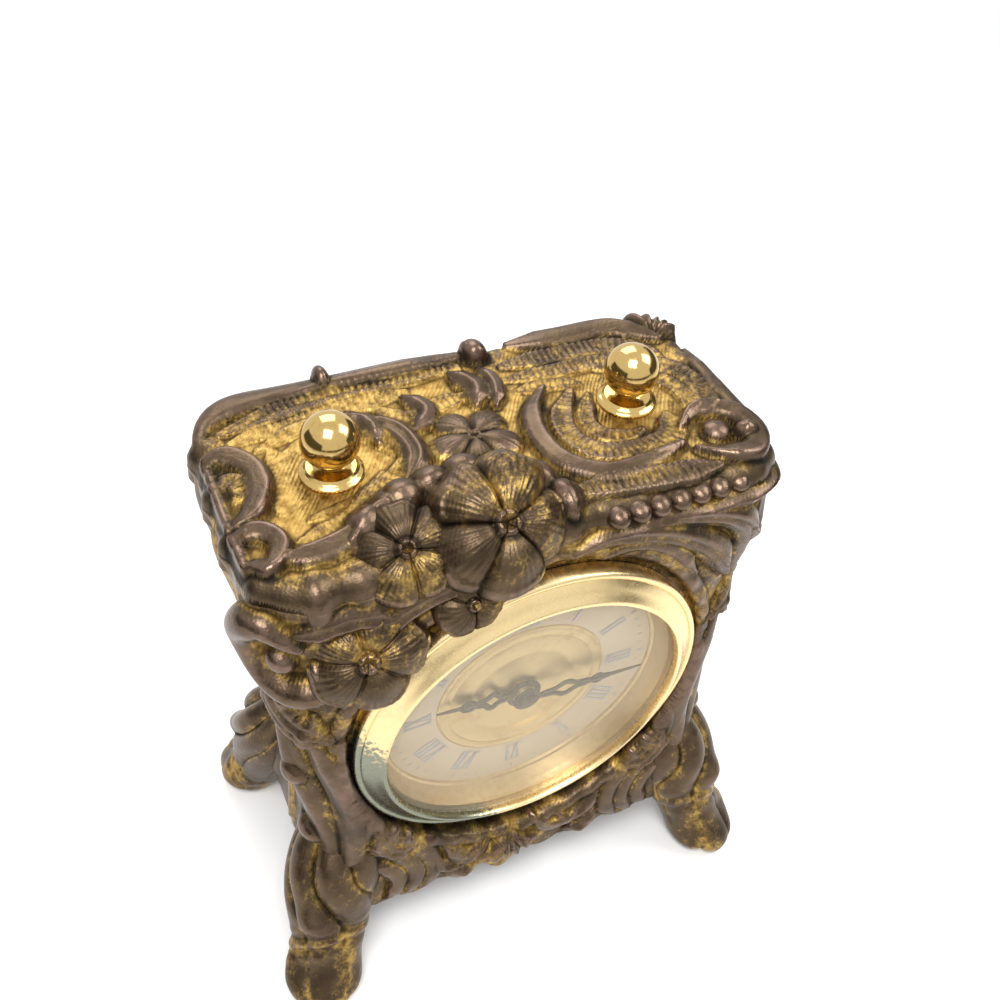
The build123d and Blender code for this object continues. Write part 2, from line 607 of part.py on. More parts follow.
with BuildPart() as ratchet_wheel:
    saw_wheel(RATCHET_T, RATCHET_R, 0.7, RATCHET_Y + 0.8, RATCHET_Y, BARREL_AT, BARREL_ARBOR_R)
ratchet_wheel.part.label = "ratchet_wheel"
export_step(ratchet_wheel.part, "parts/ratchet_wheel.step")

with BuildPart() as click:
    disc(1.5, RATCHET_Y + 0.8, RATCHET_Y, at=CLICK_AT)
    disc(0.6, RATCHET_Y, REAR_PLATE_Y - 0.4, at=CLICK_AT)
    with BuildSketch(front_plane(RATCHET_Y + 0.8, CLICK_AT)) as beak:
        with BuildLine():
            Polyline((0.9, -1.0), (0.9, 1.0), (-0.9, 4.6), (-2.9, 4.0), (-1.0, 0.4), close=True)
        make_face()
    extrude(beak.sketch, amount=0.8)
click.part.label = "click"
export_step(click.part, "parts/click.step")

with BuildPart() as winding_key:
    disc(2.4, 27.0, 19.6, at=BARREL_AT, hole=BARREL_ARBOR_R)
    with BuildSketch(front_plane(31.0, BARREL_AT)) as wings:
        SlotOverall(17.0, 2.0)
    extrude(wings.sketch, amount=6.0)
winding_key.part.label = "winding_key"
export_step(winding_key.part, "parts/winding_key.step")

# Going train
CENTRE_BORE_R = CENTRE_ARBOR_R + RUN
with BuildPart() as centre_wheel:
    gear(CENTRE_T, MOD_CENTRE, -0.5, THIRD_DIR, -8.8, -9.5, hole=CENTRE_BORE_R)
    gear(CENTRE_PIN_T, MOD_BARREL, 0.3, 270 + 180 / CENTRE_PIN_T, 3.2, 0.2, hole=CENTRE_BORE_R)
    disc(1.3, 0.2, -8.8, hole=CENTRE_BORE_R)
    crossings(4, 5.2, 2.2, -8.8, -9.5, CENTRE)
centre_wheel.part.label = "centre_wheel"
export_step(centre_wheel.part, "parts/centre_wheel.step")


def arbor(at, radius):
    """Add an arbor with a pivot in each plate."""
    disc(radius, REAR_PLATE_Y - 0.3, FRONT_PLATE_Y + 0.3, at=at)
    disc(PIVOT_R, REAR_FACE_Y, SLEEVE_END_Y + 0.1, at=at)


with BuildPart() as third_wheel:
    arbor(THIRD_AT, 0.6)
    gear(THIRD_PIN_T, MOD_CENTRE, 0.5, THIRD_DIR + 180 + 180 / THIRD_PIN_T, -8.4, -9.9, at=THIRD_AT)
    gear(THIRD_T, MOD_THIRD, -0.5, FOURTH_DIR, -4.3, -5.0, at=THIRD_AT)
    crossings(4, 4.2, 1.7, -4.3, -5.0, THIRD_AT)
third_wheel.part.label = "third_wheel"
export_step(third_wheel.part, "parts/third_wheel.step")

with BuildPart() as fourth_wheel:
    arbor(FOURTH_AT, 0.55)
    gear(FOURTH_PIN_T, MOD_THIRD, 0.5, FOURTH_DIR + 180 + 180 / FOURTH_PIN_T, -3.8, -5.5, at=FOURTH_AT)
    gear(FOURTH_T, MOD_FOURTH, -0.5, ESCAPE_DIR, -0.9, -1.5, at=FOURTH_AT)
    crossings(4, 3.6, 1.4, -0.9, -1.5, FOURTH_AT)
fourth_wheel.part.label = "fourth_wheel"
export_step(fourth_wheel.part, "parts/fourth_wheel.step")

ESCAPE_Y = 1.5
with BuildPart() as escape_wheel:
    gear(ESCAPE_PIN_T, MOD_FOURTH, 0.5, ESCAPE_DIR + 180 + 180 / ESCAPE_PIN_T, -0.4, -2.0, at=ESCAPE_AT)
    saw_wheel(ESCAPE_T, ESCAPE_R, 1.2, ESCAPE_Y, ESCAPE_Y - 0.5, ESCAPE_AT, 0.3)
    arbor(ESCAPE_AT, 0.42)
escape_wheel.part.label = "escape_wheel"
export_step(escape_wheel.part, "parts/escape_wheel.step")

PALLET_CLEAR = 0.35
with BuildPart() as pallet_lever:
    arbor(PALLET_AT, 0.5)
    with BuildSketch(Plane(origin=front_plane(ESCAPE_Y, PALLET_AT).origin, x_dir=(1, 0, 0), z_dir=(0, -1, 0))) as lever:
        with BuildLine():
            Polyline((-5.2, -2.6), (-4.8, -1.6), (0.6, 0.8), (0.8, 3.4), (1.6, 3.4), (1.7, -2.6), (0.9, -2.8), (0.3, -0.7), close=True)
        make_face()
    extrude(lever.sketch, amount=0.5)
pallet_lever.part.label = "pallet_lever"
export_step(pallet_lever.part, "parts/pallet_lever.step")

BALANCE_Y = 2.9
with BuildPart() as balance_wheel:
    arbor(BALANCE_AT, 0.5)
    disc(BALANCE_R, BALANCE_Y, BALANCE_Y - 0.8, at=BALANCE_AT, hole=BALANCE_R - 1.0)
    with BuildSketch(front_plane(BALANCE_Y, BALANCE_AT)) as arms:
        Rectangle(2 * BALANCE_R - 1.0, 1.2)
        Circle(1.2)
    extrude(arms.sketch, amount=0.5)
    disc(1.0, BALANCE_Y + 1.3, BALANCE_Y, at=BALANCE_AT)
balance_wheel.part.label = "balance_wheel"
export_step(balance_wheel.part, "parts/balance_wheel.step")

with BuildPart() as hairspring:
    hair_gap = spiral_strip(1.0, 0.8, 0.25, 9, BALANCE_Y + 1.2, BALANCE_Y + 0.7, BALANCE_AT)
hairspring.part.label = "hairspring"
export_step(hairspring.part, "parts/hairspring.step")
print("hairspring least gap", round(hair_gap, 3))

with BuildPart() as regulator_lever:
    disc(3.0, REAR_FACE_Y + 0.6, REAR_FACE_Y + 0.1, at=BALANCE_AT, hole=2.0 + RUN)
    with BuildSketch(front_plane(REAR_FACE_Y + 0.6, BALANCE_AT)) as tail:
        with Locations((5.0, 0)):
            SlotOverall(6.0, 1.2)
        Circle(2.4, mode=Mode.SUBTRACT)
    extrude(tail.sketch, amount=0.5)
regulator_lever.part.label = "regulator_lever"
export_step(regulator_lever.part, "parts/regulator_lever.step")

# Motion work behind the dial
HOUR_WHEEL_Y = -13.5
MINUTE_WHEEL_Y = -12.0
HOUR_HAND_Y = -16.4
MINUTE_HAND_Y = -17.6
HAND_THICK = 0.3
CANNON_FRONT_Y = MINUTE_HAND_Y - HAND_THICK
with BuildPart() as cannon_pinion:
    gear(CANNON_T, MOD_MINUTE, 0, MINUTE_DIR, MINUTE_WHEEL_Y + 0.1, -12.9, hole=CENTRE_ARBOR_R)
    disc(CANNON_TUBE_R, -12.9, CANNON_FRONT_Y, hole=CENTRE_ARBOR_R)
cannon_pinion.part.label = "cannon_pinion"
export_step(cannon_pinion.part, "parts/cannon_pinion.step")

with BuildPart() as minute_wheel:
    minute_phase = MINUTE_DIR + 180 + 180 / MINUTE_T
    gear(MINUTE_T, MOD_MINUTE, 0, minute_phase, MINUTE_WHEEL_Y, -12.7, at=MINUTE_WHEEL_AT, hole=0.7 + RUN)
    gear(MINUTE_PIN_T, MOD_HOUR, 0.3, MINUTE_DIR + 180, -12.7, -14.3, at=MINUTE_WHEEL_AT, hole=0.7 + RUN)
minute_wheel.part.label = "minute_wheel"
export_step(minute_wheel.part, "parts/minute_wheel.step")

with BuildPart() as hour_wheel:
    gear(HOUR_T, MOD_HOUR, -0.3, MINUTE_DIR + 180 / HOUR_T, HOUR_WHEEL_Y, -14.2, hole=CANNON_TUBE_R + RUN)
    disc(HOUR_PIPE_R, HOUR_WHEEL_Y, HOUR_HAND_Y - HAND_THICK, hole=CANNON_TUBE_R + RUN)
hour_wheel.part.label = "hour_wheel"
export_step(hour_wheel.part, "parts/hour_wheel.step")


def hand(y_back, clock_angle, hub_r, bore_r, ring_at, bulb_at, tip_at, width):
    """Add a pierced hand that points to a clock angle: hub, open ring, open bulb and spear."""
    turn = math.radians(90 - clock_angle)
    pointing = (math.cos(turn), 0, math.sin(turn))
    plane = Plane(origin=(0, y_back, DIAL_Z), x_dir=pointing, z_dir=(0, -1, 0))
    with BuildSketch(plane) as outline:
        Circle(hub_r)
        with Locations((ring_at, 0)):
            Circle(1.25 * width)
        with Locations((bulb_at, 0)):
            Ellipse(1.6 * width, 1.2 * width)
        with BuildLine():
            Polyline(
                (0, 0.5), (bulb_at, 0.45), (bulb_at + width, 0.7), (tip_at, 0),
                (bulb_at + width, -0.7), (bulb_at, -0.45), (0, -0.5), close=True,
            )
        make_face()
        with Locations((ring_at, 0)):
            Circle(0.7 * width, mode=Mode.SUBTRACT)
        with Locations((bulb_at, 0)):
            Ellipse(0.9 * width, 0.6 * width, mode=Mode.SUBTRACT)
        Circle(bore_r, mode=Mode.SUBTRACT)
    extrude(outline.sketch, amount=HAND_THICK)


with BuildPart() as hour_hand:
    hand(HOUR_HAND_Y, HOUR_AT, 3.0, HOUR_PIPE_R, 4.9, 9.0, 15.5, 1.9)
hour_hand.part.label = "hour_hand"
export_step(hour_hand.part, "parts/hour_hand.step")

with BuildPart() as minute_hand:
    hand(MINUTE_HAND_Y, MINUTE_AT, 2.4, CANNON_TUBE_R, 4.4, 11.0, 21.5, 1.6)
minute_hand.part.label = "minute_hand"
export_step(minute_hand.part, "parts/minute_hand.step")

with BuildPart() as centre_arbor:
    disc(CENTRE_ARBOR_R, 24.5, CANNON_FRONT_Y - 0.4)
centre_arbor.part.label = "centre_arbor"
export_step(centre_arbor.part, "parts/centre_arbor.step")

with BuildPart() as hand_nut:
    disc(1.5, CANNON_FRONT_Y, CANNON_FRONT_Y - 0.7)
    disc(CENTRE_ARBOR_R, CANNON_FRONT_Y, CANNON_FRONT_Y - 0.4, mode=Mode.SUBTRACT)
    fillet(hand_nut.faces().sort_by(Axis.Y)[0].edges(), radius=0.3)
hand_nut.part.label = "hand_nut"
export_step(hand_nut.part, "parts/hand_nut.step")

with BuildPart() as set_knob:
    disc(4.2, 25.5, 20.6)
    disc(CENTRE_ARBOR_R, 24.5, 20.6, mode=Mode.SUBTRACT)
    chamfer(set_knob.faces().sort_by(Axis.Y)[-1].edges(), length=0.6)
set_knob.part.label = "set_knob"
export_step(set_knob.part, "parts/set_knob.step")
print("minute module", round(MOD_HOUR, 4))
print("barrel", BARREL_AT, "third", THIRD_AT, "fourth", FOURTH_AT, "escape", ESCAPE_AT)
print("pallet", PALLET_AT, "balance", BALANCE_AT, "minute wheel", MINUTE_WHEEL_AT, "click", CLICK_AT)
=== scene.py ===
"""Looks of a small rococo mantel clock: cast and gilt case, glazed dial, finials and movement."""
import json
import logging
import math
from dataclasses import dataclass, field, replace
from enum import Enum
from typing import Any, Callable, Sequence

import bpy
import numpy as np
from mathutils import Matrix, Vector


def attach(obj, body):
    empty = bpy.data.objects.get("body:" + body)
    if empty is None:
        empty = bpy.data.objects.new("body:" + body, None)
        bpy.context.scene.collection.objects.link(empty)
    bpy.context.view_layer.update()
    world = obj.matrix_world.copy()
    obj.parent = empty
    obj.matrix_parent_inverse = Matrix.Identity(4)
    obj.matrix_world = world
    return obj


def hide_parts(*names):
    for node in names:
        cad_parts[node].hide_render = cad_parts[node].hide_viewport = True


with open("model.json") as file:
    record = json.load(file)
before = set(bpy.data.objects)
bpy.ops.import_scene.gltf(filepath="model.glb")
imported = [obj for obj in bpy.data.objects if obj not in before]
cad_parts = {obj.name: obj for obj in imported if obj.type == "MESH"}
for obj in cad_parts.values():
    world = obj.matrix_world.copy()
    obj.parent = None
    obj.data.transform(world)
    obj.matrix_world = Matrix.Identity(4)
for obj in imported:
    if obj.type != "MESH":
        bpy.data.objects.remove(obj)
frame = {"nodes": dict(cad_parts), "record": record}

MM = 0.001
DIAL_Z = 52.0
FINIAL_X, FINIAL_Y = 24.2, 4.4
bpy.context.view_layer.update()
log = logging.getLogger("clock")

Point = tuple[float, float]
Colour = tuple[float, float, float]
Level = tuple[float, ...]


class Slot(Enum):
    """Material slots of the record."""

    CAST_GILT = "cast_gilt"
    POLISHED_BRASS = "polished_brass"
    PLATE_BRASS = "plate_brass"
    TRAIN_STEEL = "train_steel"
    DIAL_CREAM = "dial_cream"
    DIAL_GILT = "dial_gilt"
    CLEAR_GLASS = "clear_glass"
    HAND_DARK = "hand_dark"


class Side(Enum):
    """Left or right of the clock seen from the front."""

    LEFT = -1
    RIGHT = 1


class Value:
    """A node's output that turns Python arithmetic into Math nodes."""

    def __init__(self, graph: "Graph", socket: Any) -> None:
        """Keep the node tree and the socket that gives the value."""
        self.graph = graph
        self.socket = socket

    def _math(self, operation: str, first: Any, second: Any) -> "Value":
        """Add one Math node.

        Args:
            operation: Name of the operation.
            first: Left operand.
            second: Right operand.

        Returns:
            The result as a value.
        """
        return self.graph.node("ShaderNodeMath", {"operation": operation}, {0: first, 1: second})

    def __add__(self, other: Any) -> "Value":
        """Add."""
        return self._math("ADD", self, other)

    def __radd__(self, other: Any) -> "Value":
        """Add with the number first."""
        return self._math("ADD", other, self)

    def __sub__(self, other: Any) -> "Value":
        """Subtract."""
        return self._math("SUBTRACT", self, other)

    def __rsub__(self, other: Any) -> "Value":
        """Subtract from a number."""
        return self._math("SUBTRACT", other, self)

    def __mul__(self, other: Any) -> "Value":
        """Multiply."""
        return self._math("MULTIPLY", self, other)

    def __rmul__(self, other: Any) -> "Value":
        """Multiply with the number first."""
        return self._math("MULTIPLY", other, self)

    def step(self, low: float, high: float) -> "Value":
        """Return a smooth step of this value between two limits."""
        settings = {"interpolation_type": "SMOOTHSTEP"}
        return self.graph.node("ShaderNodeMapRange", settings, {"Value": self, "From Min": low, "From Max": high})


class Graph:
    """A node tree under construction."""

    def __init__(self, tree: bpy.types.NodeTree) -> None:
        """Start with an empty tree."""
        self.tree = tree
        tree.nodes.clear()

    def feed(self, socket: Any, value: Any) -> None:
        """Link or set one input socket."""
        if isinstance(value, Value):
            self.tree.links.new(value.socket, socket)
        elif hasattr(socket.default_value, "__len__") and len(socket.default_value) == 4 and len(value) == 3:
            socket.default_value = (*value, 1.0)
        else:
            socket.default_value = value

    def node(self, kind: str, settings: dict[str, Any], inputs: dict[Any, Any], output: Any = 0) -> Value:
        """Add any node.

        Args:
            kind: Node type.
            settings: Properties, which are set first.
            inputs: Values or links by socket name or index.
            output: Name or index of the output that is wanted.

        Returns:
            The wanted output as a value.
        """
        made = self.tree.nodes.new(kind)
        for key, value in settings.items():
            setattr(made, key, value)
        for key, value in inputs.items():
            self.feed(made.inputs[key], value)
        return Value(self, made.outputs[output])

    def end(self, kind: str, surface: Value) -> None:
        """Add the tree's output node and link its surface."""
        self.feed(self.tree.nodes.new(kind).inputs["Surface"], surface)


class Shader(Graph):
    """A node material under construction."""

    def __init__(self, name: str) -> None:
        """Start a material with a Principled shader and its output."""
        self.material = bpy.data.materials.new(name)
        self.material.use_nodes = True
        super().__init__(self.material.node_tree)
        self.surface = self.tree.nodes.new("ShaderNodeBsdfPrincipled")
        self.end("ShaderNodeOutputMaterial", Value(self, self.surface.outputs[0]))

    def place(self) -> Value:
        """Return Object coordinates."""
        return self.node("ShaderNodeTexCoord", {}, {}, "Object")

    def noise(self, size_mm: float, detail: float = 2.0, stretch: Colour = (1, 1, 1)) -> Value:
        """Return a noise value with features of about a size in millimetres."""
        spot = self.node("ShaderNodeMapping", {}, {"Vector": self.place(), "Scale": stretch})
        return self.node("ShaderNodeTexNoise", {}, {"Vector": spot, "Scale": 1000 / size_mm, "Detail": detail})

    def waves(self, period_mm: float, turn: Colour, distortion: float) -> Value:
        """Return fine parallel lines with a period in millimetres."""
        spot = self.node("ShaderNodeMapping", {}, {"Vector": self.place(), "Rotation": turn})
        scale = 2 * math.pi / (20 * period_mm * MM)
        inputs = {"Vector": spot, "Scale": scale, "Distortion": distortion, "Detail": 1.0, "Detail Scale": 0.15}
        return self.node("ShaderNodeTexWave", {"wave_type": "BANDS"}, inputs, "Fac")

    def mix(self, factor: Any, first: Any, second: Any) -> Value:
        """Return a mix of two colours."""
        return self.node("ShaderNodeMix", {"data_type": "RGBA"}, {0: factor, 6: first, 7: second}, 2)

    def attribute(self, name: str) -> tuple[Value, Value, Value]:
        """Return the three channels of a colour attribute."""
        colour = self.node("ShaderNodeAttribute", {"attribute_name": name}, {}, "Color")
        return tuple(self.node("ShaderNodeSeparateColor", {}, {0: colour}, i) for i in range(3))

    def bump(self, height: Value, depth_mm: float) -> None:
        """Bump the surface by a height value with a depth in millimetres."""
        normal = self.node("ShaderNodeBump", {}, {"Strength": 1.0, "Distance": depth_mm * MM, "Height": height})
        self.set(Normal=normal)

    def set(self, **inputs: Any) -> "Shader":
        """Set or link inputs of the Principled shader, underscores for spaces."""
        for key, value in inputs.items():
            self.feed(self.surface.inputs[key.replace("_", " ")], value)
        return self


@dataclass(frozen=True)
class WornGilding:
    """Cast metal with worn gilding: gold in the recesses, dark on the ridges with a painted pinkish highlight, and
    painted shade darkening the hollows.
    """

    name: str = "worn_gilding"
    gold_deep: Colour = (0.20, 0.112, 0.022)
    gold_pale: Colour = (0.48, 0.315, 0.092)
    patina_dark: Colour = (0.056, 0.037, 0.023)
    patina_olive: Colour = (0.132, 0.090, 0.049)
    # pinkish colour painted on the ridges as a highlight
    rosy_highlight: Colour = (0.205, 0.134, 0.102)
    # near-black colour of the painted shade in the hollows
    hollow_shade: Colour = (0.014, 0.010, 0.006)

    def make(self) -> bpy.types.Material:
        """Build the material from the wear attribute of the casting."""
        s = Shader(self.name)
        gilt, hollow, crest = s.attribute("wear")
        broad = s.noise(5.0, 3.0)
        patch = s.noise(1.6, 4.0)
        speck = s.noise(0.45, 2.0)
        cover = gilt * 1.25 + (patch - 0.5) * 1.0 + (speck - 0.5) * 0.9 + (broad - 0.5) * 0.6 - 0.20
        cover = (cover + hollow * (broad - 0.36) * 1.9).step(0.12, 0.78)
        gold = s.mix(patch.step(0.28, 0.72), self.gold_deep, self.gold_pale)
        patina = s.mix(broad.step(0.15, 0.9), self.patina_dark, self.patina_olive)
        # painted highlight: the patina turns pinkish on the crests, standing in for light caught by the ridges
        patina_with_highlight = s.mix(crest * (0.25 + 0.6 * patch.step(0.3, 0.7)), patina, self.rosy_highlight)
        colour = s.mix(cover * (1 - crest * 0.6), patina_with_highlight, gold)
        # painted shade: the hollows are darkened toward near black, standing in for the shade that falls in them
        painted_shade_mask = (hollow * 1.15 * (1 - gilt * 0.35) * (1.25 - broad)).step(0.12, 0.9)
        lines = s.waves(0.60, (0.0, 0.0, 0.6), 9.0)
        s.set(Base_Color=s.mix(painted_shade_mask, colour, self.hollow_shade), Metallic=0.92)
        s.set(Roughness=0.37 + 0.22 * (patch - 0.5) + 0.22 * hollow - 0.09 * crest)
        s.bump(lines * gilt * 0.26 + speck * 0.35 + patch * 0.4, 0.15)
        return s.material


@dataclass(frozen=True)
class Brass:
    """Bright turned or rolled brass with fine scratches and faint tarnish."""

    name: str
    colour: Colour = (0.86, 0.66, 0.30)
    tarnish: Colour = (0.52, 0.36, 0.13)
    rough: float = 0.10
    wear: float = 0.35
    # grey-green colour painted low on the left as a dark reflection; if not given, no reflection is painted
    dark_reflection: Colour | None = None

    def make(self) -> bpy.types.Material:
        """Build the material, with a painted dark reflection low on the left if a colour is given for that."""
        s = Shader(self.name)
        cloud = s.noise(7.0, 4.0)
        fleck = s.noise(0.8, 3.0)
        scratch = s.noise(0.35, 1.0, (1.0, 0.06, 1.0))
        stain = (cloud * 0.7 + fleck * 0.5).step(0.58, 0.78) * self.wear
        colour = s.mix(stain, self.colour, self.tarnish)
        if self.dark_reflection:
            x = s.node("ShaderNodeSeparateXYZ", {}, {0: s.place()}, "X")
            z = s.node("ShaderNodeSeparateXYZ", {}, {0: s.place()}, "Z")
            # painted reflection: the lower left of the ring takes the dark colour, standing in for a dark reflection
            # there
            reflection_zone = (x * -26.0 + (DIAL_Z * MM - z) * 18.0 + (fleck - 0.5) * 0.35).step(0.57, 0.65)
            colour = s.mix(reflection_zone, colour, self.dark_reflection)
        s.set(Base_Color=colour, Metallic=1.0)
        s.set(Roughness=self.rough + stain * 0.25 + 0.10 * scratch.step(0.55, 0.75))
        s.bump(scratch * 0.5 + fleck * 0.3, 0.012)
        return s.material


@dataclass(frozen=True)
class Steel:
    """Steel of arbors, springs, screws and hands."""

    name: str
    colour: Colour = (0.50, 0.50, 0.51)
    rough: float = 0.25
    metal: float = 1.0

    def make(self) -> bpy.types.Material:
        """Build the material."""
        s = Shader(self.name)
        grain = s.noise(0.5, 3.0, (1.0, 1.0, 0.2))
        cloud = s.noise(3.0, 2.0)
        darker = tuple(c * 0.6 for c in self.colour)
        s.set(Base_Color=s.mix(cloud.step(0.3, 0.7), darker, self.colour), Metallic=self.metal)
        s.set(Roughness=self.rough + 0.15 * grain)
        s.bump(grain, 0.006)
        return s.material


@dataclass(frozen=True)
class DialPaint:
    """Cream dial paint with a faint mottling, or the dark paint of its numerals."""

    name: str
    colour: Colour = (0.86, 0.81, 0.68)
    shade: Colour = (0.78, 0.71, 0.55)
    rough: float = 0.45

    def make(self) -> bpy.types.Material:
        """Build the material."""
        s = Shader(self.name)
        cloud = s.noise(6.0, 4.0)
        fine = s.noise(0.4, 2.0)
        s.set(Base_Color=s.mix(cloud.step(0.35, 0.75), self.colour, self.shade), Roughness=self.rough + 0.1 * fine)
        s.bump(fine, 0.004)
        return s.material


@dataclass(frozen=True)
class WindowGlass:
    """Clear domed glass with a faint film on it, its pale see-through colour partly a real haze and partly a painted
    sheen of reflected light.
    """

    name: str = "window_glass"

    def make(self) -> bpy.types.Material:
        """Build the material."""
        s = Shader(self.name)
        film = s.noise(9.0, 3.0)
        # pale colour at low alpha: a haze over the dial, partly the glass's own film and partly a painted sheen
        # standing in for reflected light
        s.set(Base_Color=(0.70, 0.62, 0.48), Metallic=0.0, Alpha=0.16, IOR=1.5)
        s.set(Roughness=0.03 + 0.05 * film.step(0.4, 0.8))
        return s.material


@dataclass(frozen=True)
class DarkCard:
    """Dull card that the metal reflects."""

    name: str = "dark_card"
    colour: Colour = (0.075, 0.072, 0.058)

    def make(self) -> bpy.types.Material:
        """Build the material."""
        return Shader(self.name).set(Base_Color=self.colour, Roughness=0.75, Specular_IOR_Level=0.1).material


@dataclass(frozen=True)
class PaleFloor:
    """Plain near-white floor."""

    name: str = "pale_floor"
    colour: Colour = (0.93, 0.925, 0.92)

    def make(self) -> bpy.types.Material:
        """Build the material, which turns plain white far from the clock."""
        s = Shader(self.name)
        black, white = (0.0, 0.0, 0.0), (1.0, 1.0, 1.0)
        far = s.node("ShaderNodeVectorMath", {"operation": "LENGTH"}, {0: s.place()}, "Value").step(0.22, 0.50)
        s.set(Base_Color=s.mix(far, self.colour, black), Roughness=0.75, Specular_IOR_Level=0.1)
        s.set(Emission_Color=s.mix(far, black, white), Emission_Strength=1.0)
        return s.material


def select_none() -> None:
    """Leave edit mode and deselect every object."""
    if bpy.context.object and bpy.context.object.mode != "OBJECT":
        bpy.ops.object.mode_set(mode="OBJECT")
    bpy.ops.object.select_all(action="DESELECT")


def activate(piece: bpy.types.Object) -> None:
    """Select one object alone and make it active."""
    select_none()
    bpy.context.view_layer.objects.active = piece
    piece.select_set(True)


def shade_smooth(piece: bpy.types.Object) -> bpy.types.Object:
    """Shade a piece smooth and return it."""
    activate(piece)
    bpy.ops.object.shade_smooth()
    return piece


def active_named(name: str) -> bpy.types.Object:
    """Name the object that an operator just added and return it."""
    made = bpy.context.object
    made.name = name
    made.data.name = name
    return made


def finish_mesh(piece: bpy.types.Object, merge_mm: float = 0.002, smooth: float = 40.0) -> None:
    """Merge doubles, point the faces outwards and shade smooth by angle."""
    activate(piece)
    bpy.ops.object.mode_set(mode="EDIT")
    bpy.ops.mesh.select_all(action="SELECT")
    bpy.ops.mesh.remove_doubles(threshold=merge_mm * MM)
    bpy.ops.mesh.normals_make_consistent(inside=False)
    bpy.ops.object.mode_set(mode="OBJECT")
    bpy.ops.object.shade_smooth_by_angle(angle=math.radians(smooth))


def settle(piece: bpy.types.Object, body: str, slot: Slot, material: bpy.types.Material, *nodes: str) -> None:
    """Dress a piece, hang it on a body and let it stand for CAD nodes."""
    piece.data.materials.clear()
    piece.data.materials.append(material)
    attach(piece, body)
    if nodes:
        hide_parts(*nodes)
    log.info("%s: %d faces on %s", piece.name, len(piece.data.polygons), body)


def lathe(name: str, profile: Sequence[Point], centre: Vector, axis: Vector, steps: int = 160) -> bpy.types.Object:
    """Turn a profile about an axis with the spin operator.

    Args:
        name: Name of the piece.
        profile: Radius and distance along the axis, in millimetres.
        centre: Point on the axis, in metres.
        axis: Direction of the axis.
        steps: Steps of the spin.

    Returns:
        The turned piece.
    """
    select_none()
    bpy.ops.mesh.primitive_circle_add(vertices=3, radius=MM)
    piece = active_named(name)
    across = Vector((1, 0, 0))
    points = [centre + across * (r * MM) + axis * (t * MM) for r, t in profile]
    piece.data.clear_geometry()
    piece.data.from_pydata([tuple(p) for p in points], [(i, i + 1) for i in range(len(points) - 1)], [])
    bpy.ops.object.mode_set(mode="EDIT")
    bpy.ops.mesh.select_all(action="SELECT")
    bpy.ops.mesh.spin(steps=steps, angle=2 * math.pi, center=centre, axis=axis)
    bpy.ops.object.mode_set(mode="OBJECT")
    finish_mesh(piece)
    return piece


def curve_points(control: Sequence[Point], step: float = 0.35) -> np.ndarray:
    """Return points along a smooth curve through control points.

    Args:
        control: Points that the curve passes.
        step: Spacing of the points.

    Returns:
        Rows of x and y.
    """
    pts = np.array(control, float)
    padded = np.vstack([2 * pts[0] - pts[1], pts, 2 * pts[-1] - pts[-2]])
    rows = []
    for i in range(1, len(padded) - 2):
        a, b, c, d = padded[i - 1:i + 3]
        count = max(4, int(np.linalg.norm(c - b) / step))
        t = np.linspace(0, 1, count, endpoint=False)[:, None]
        square, cube = 2 * a - 5 * b + 4 * c - d, 3 * b - a - 3 * c + d
        rows.append(0.5 * (2 * b + (c - a) * t + square * t ** 2 + cube * t ** 3))
    rows.append(pts[-1:])
    return np.vstack(rows)


@dataclass(frozen=True)
class Ridge:
    """A scroll or leaf stroke in relief: steep on one side, a long slope on the other, with grooves along it."""

    path: tuple[Point, ...]
    width: float
    height: float
    start: float = 0.35
    end: float = 0.35
    grooves: int = 1
    lobes: int = 0
    lean: float = 0.35
    spread: float = 1.25
    channel: float = 0.0
    hatch: float = 0.0

    def banded(self) -> "Ridge":
        """Return the stroke as a broad shallow band with raised edges and fine cross lines."""
        return replace(self, spread=1.6, height=1.05 * self.height, grooves=0, lean=0.2, channel=0.5, hatch=0.07)

    def raise_on(self, x: np.ndarray, y: np.ndarray) -> np.ndarray:
        """Return this stroke's height over a panel."""
        line = curve_points(self.path)
        out = np.zeros_like(x)
        reach = self.width * self.spread * 1.4
        low, high = line.min(0) - reach, line.max(0) + reach
        near = (x > low[0]) & (x < high[0]) & (y > low[1]) & (y < high[1])
        if not near.any():
            return out
        px, py = x[near], y[near]
        best = np.full(px.shape, 1e9)
        where = np.zeros(px.shape)
        side = np.zeros(px.shape)
        tangent = np.gradient(line, axis=0)
        tangent /= np.linalg.norm(tangent, axis=1)[:, None] + 1e-9
        for k, (cx, cy) in enumerate(line):
            d2 = (px - cx) ** 2 + (py - cy) ** 2
            closer = d2 < best
            best[closer] = d2[closer]
            where[closer] = k / (len(line) - 1)
            side[closer] = ((px - cx) * -tangent[k, 1] + (py - cy) * tangent[k, 0])[closer]
        full = np.clip(np.minimum(self.start + where * 3.2, self.end + (1 - where) * 3.2), 0, 1)
        width = self.width * self.spread * full
        if self.lobes:
            width = width * (0.84 + 0.16 * np.abs(np.cos(math.pi * self.lobes * where)))
        reached = np.clip(np.sqrt(best) / width, 0, 1)
        e = reached * np.sign(side)
        slope = np.where(e > self.lean, (e - self.lean) / (1 - self.lean), (self.lean - e) / (1 + self.lean))
        dome = np.clip(1 - slope ** 2, 0, 1) ** 0.62
        if self.grooves:
            lane = np.cos(math.pi * self.grooves * e) * (1 if self.grooves % 2 else -1)
            dome = dome * (1 - 0.16 * (0.5 + 0.5 * lane))
        dome = dome * (1 - self.channel * np.clip(1 - (e / 0.74) ** 2, 0, 1) ** 0.7)
        length = np.linalg.norm(np.diff(line, axis=0), axis=1).sum()
        dome = dome + self.hatch * np.cos(2 * math.pi * where * length / 1.1) * (reached < 0.8)
        out[near] = self.height * (0.45 + 0.55 * full) * dome
        return out


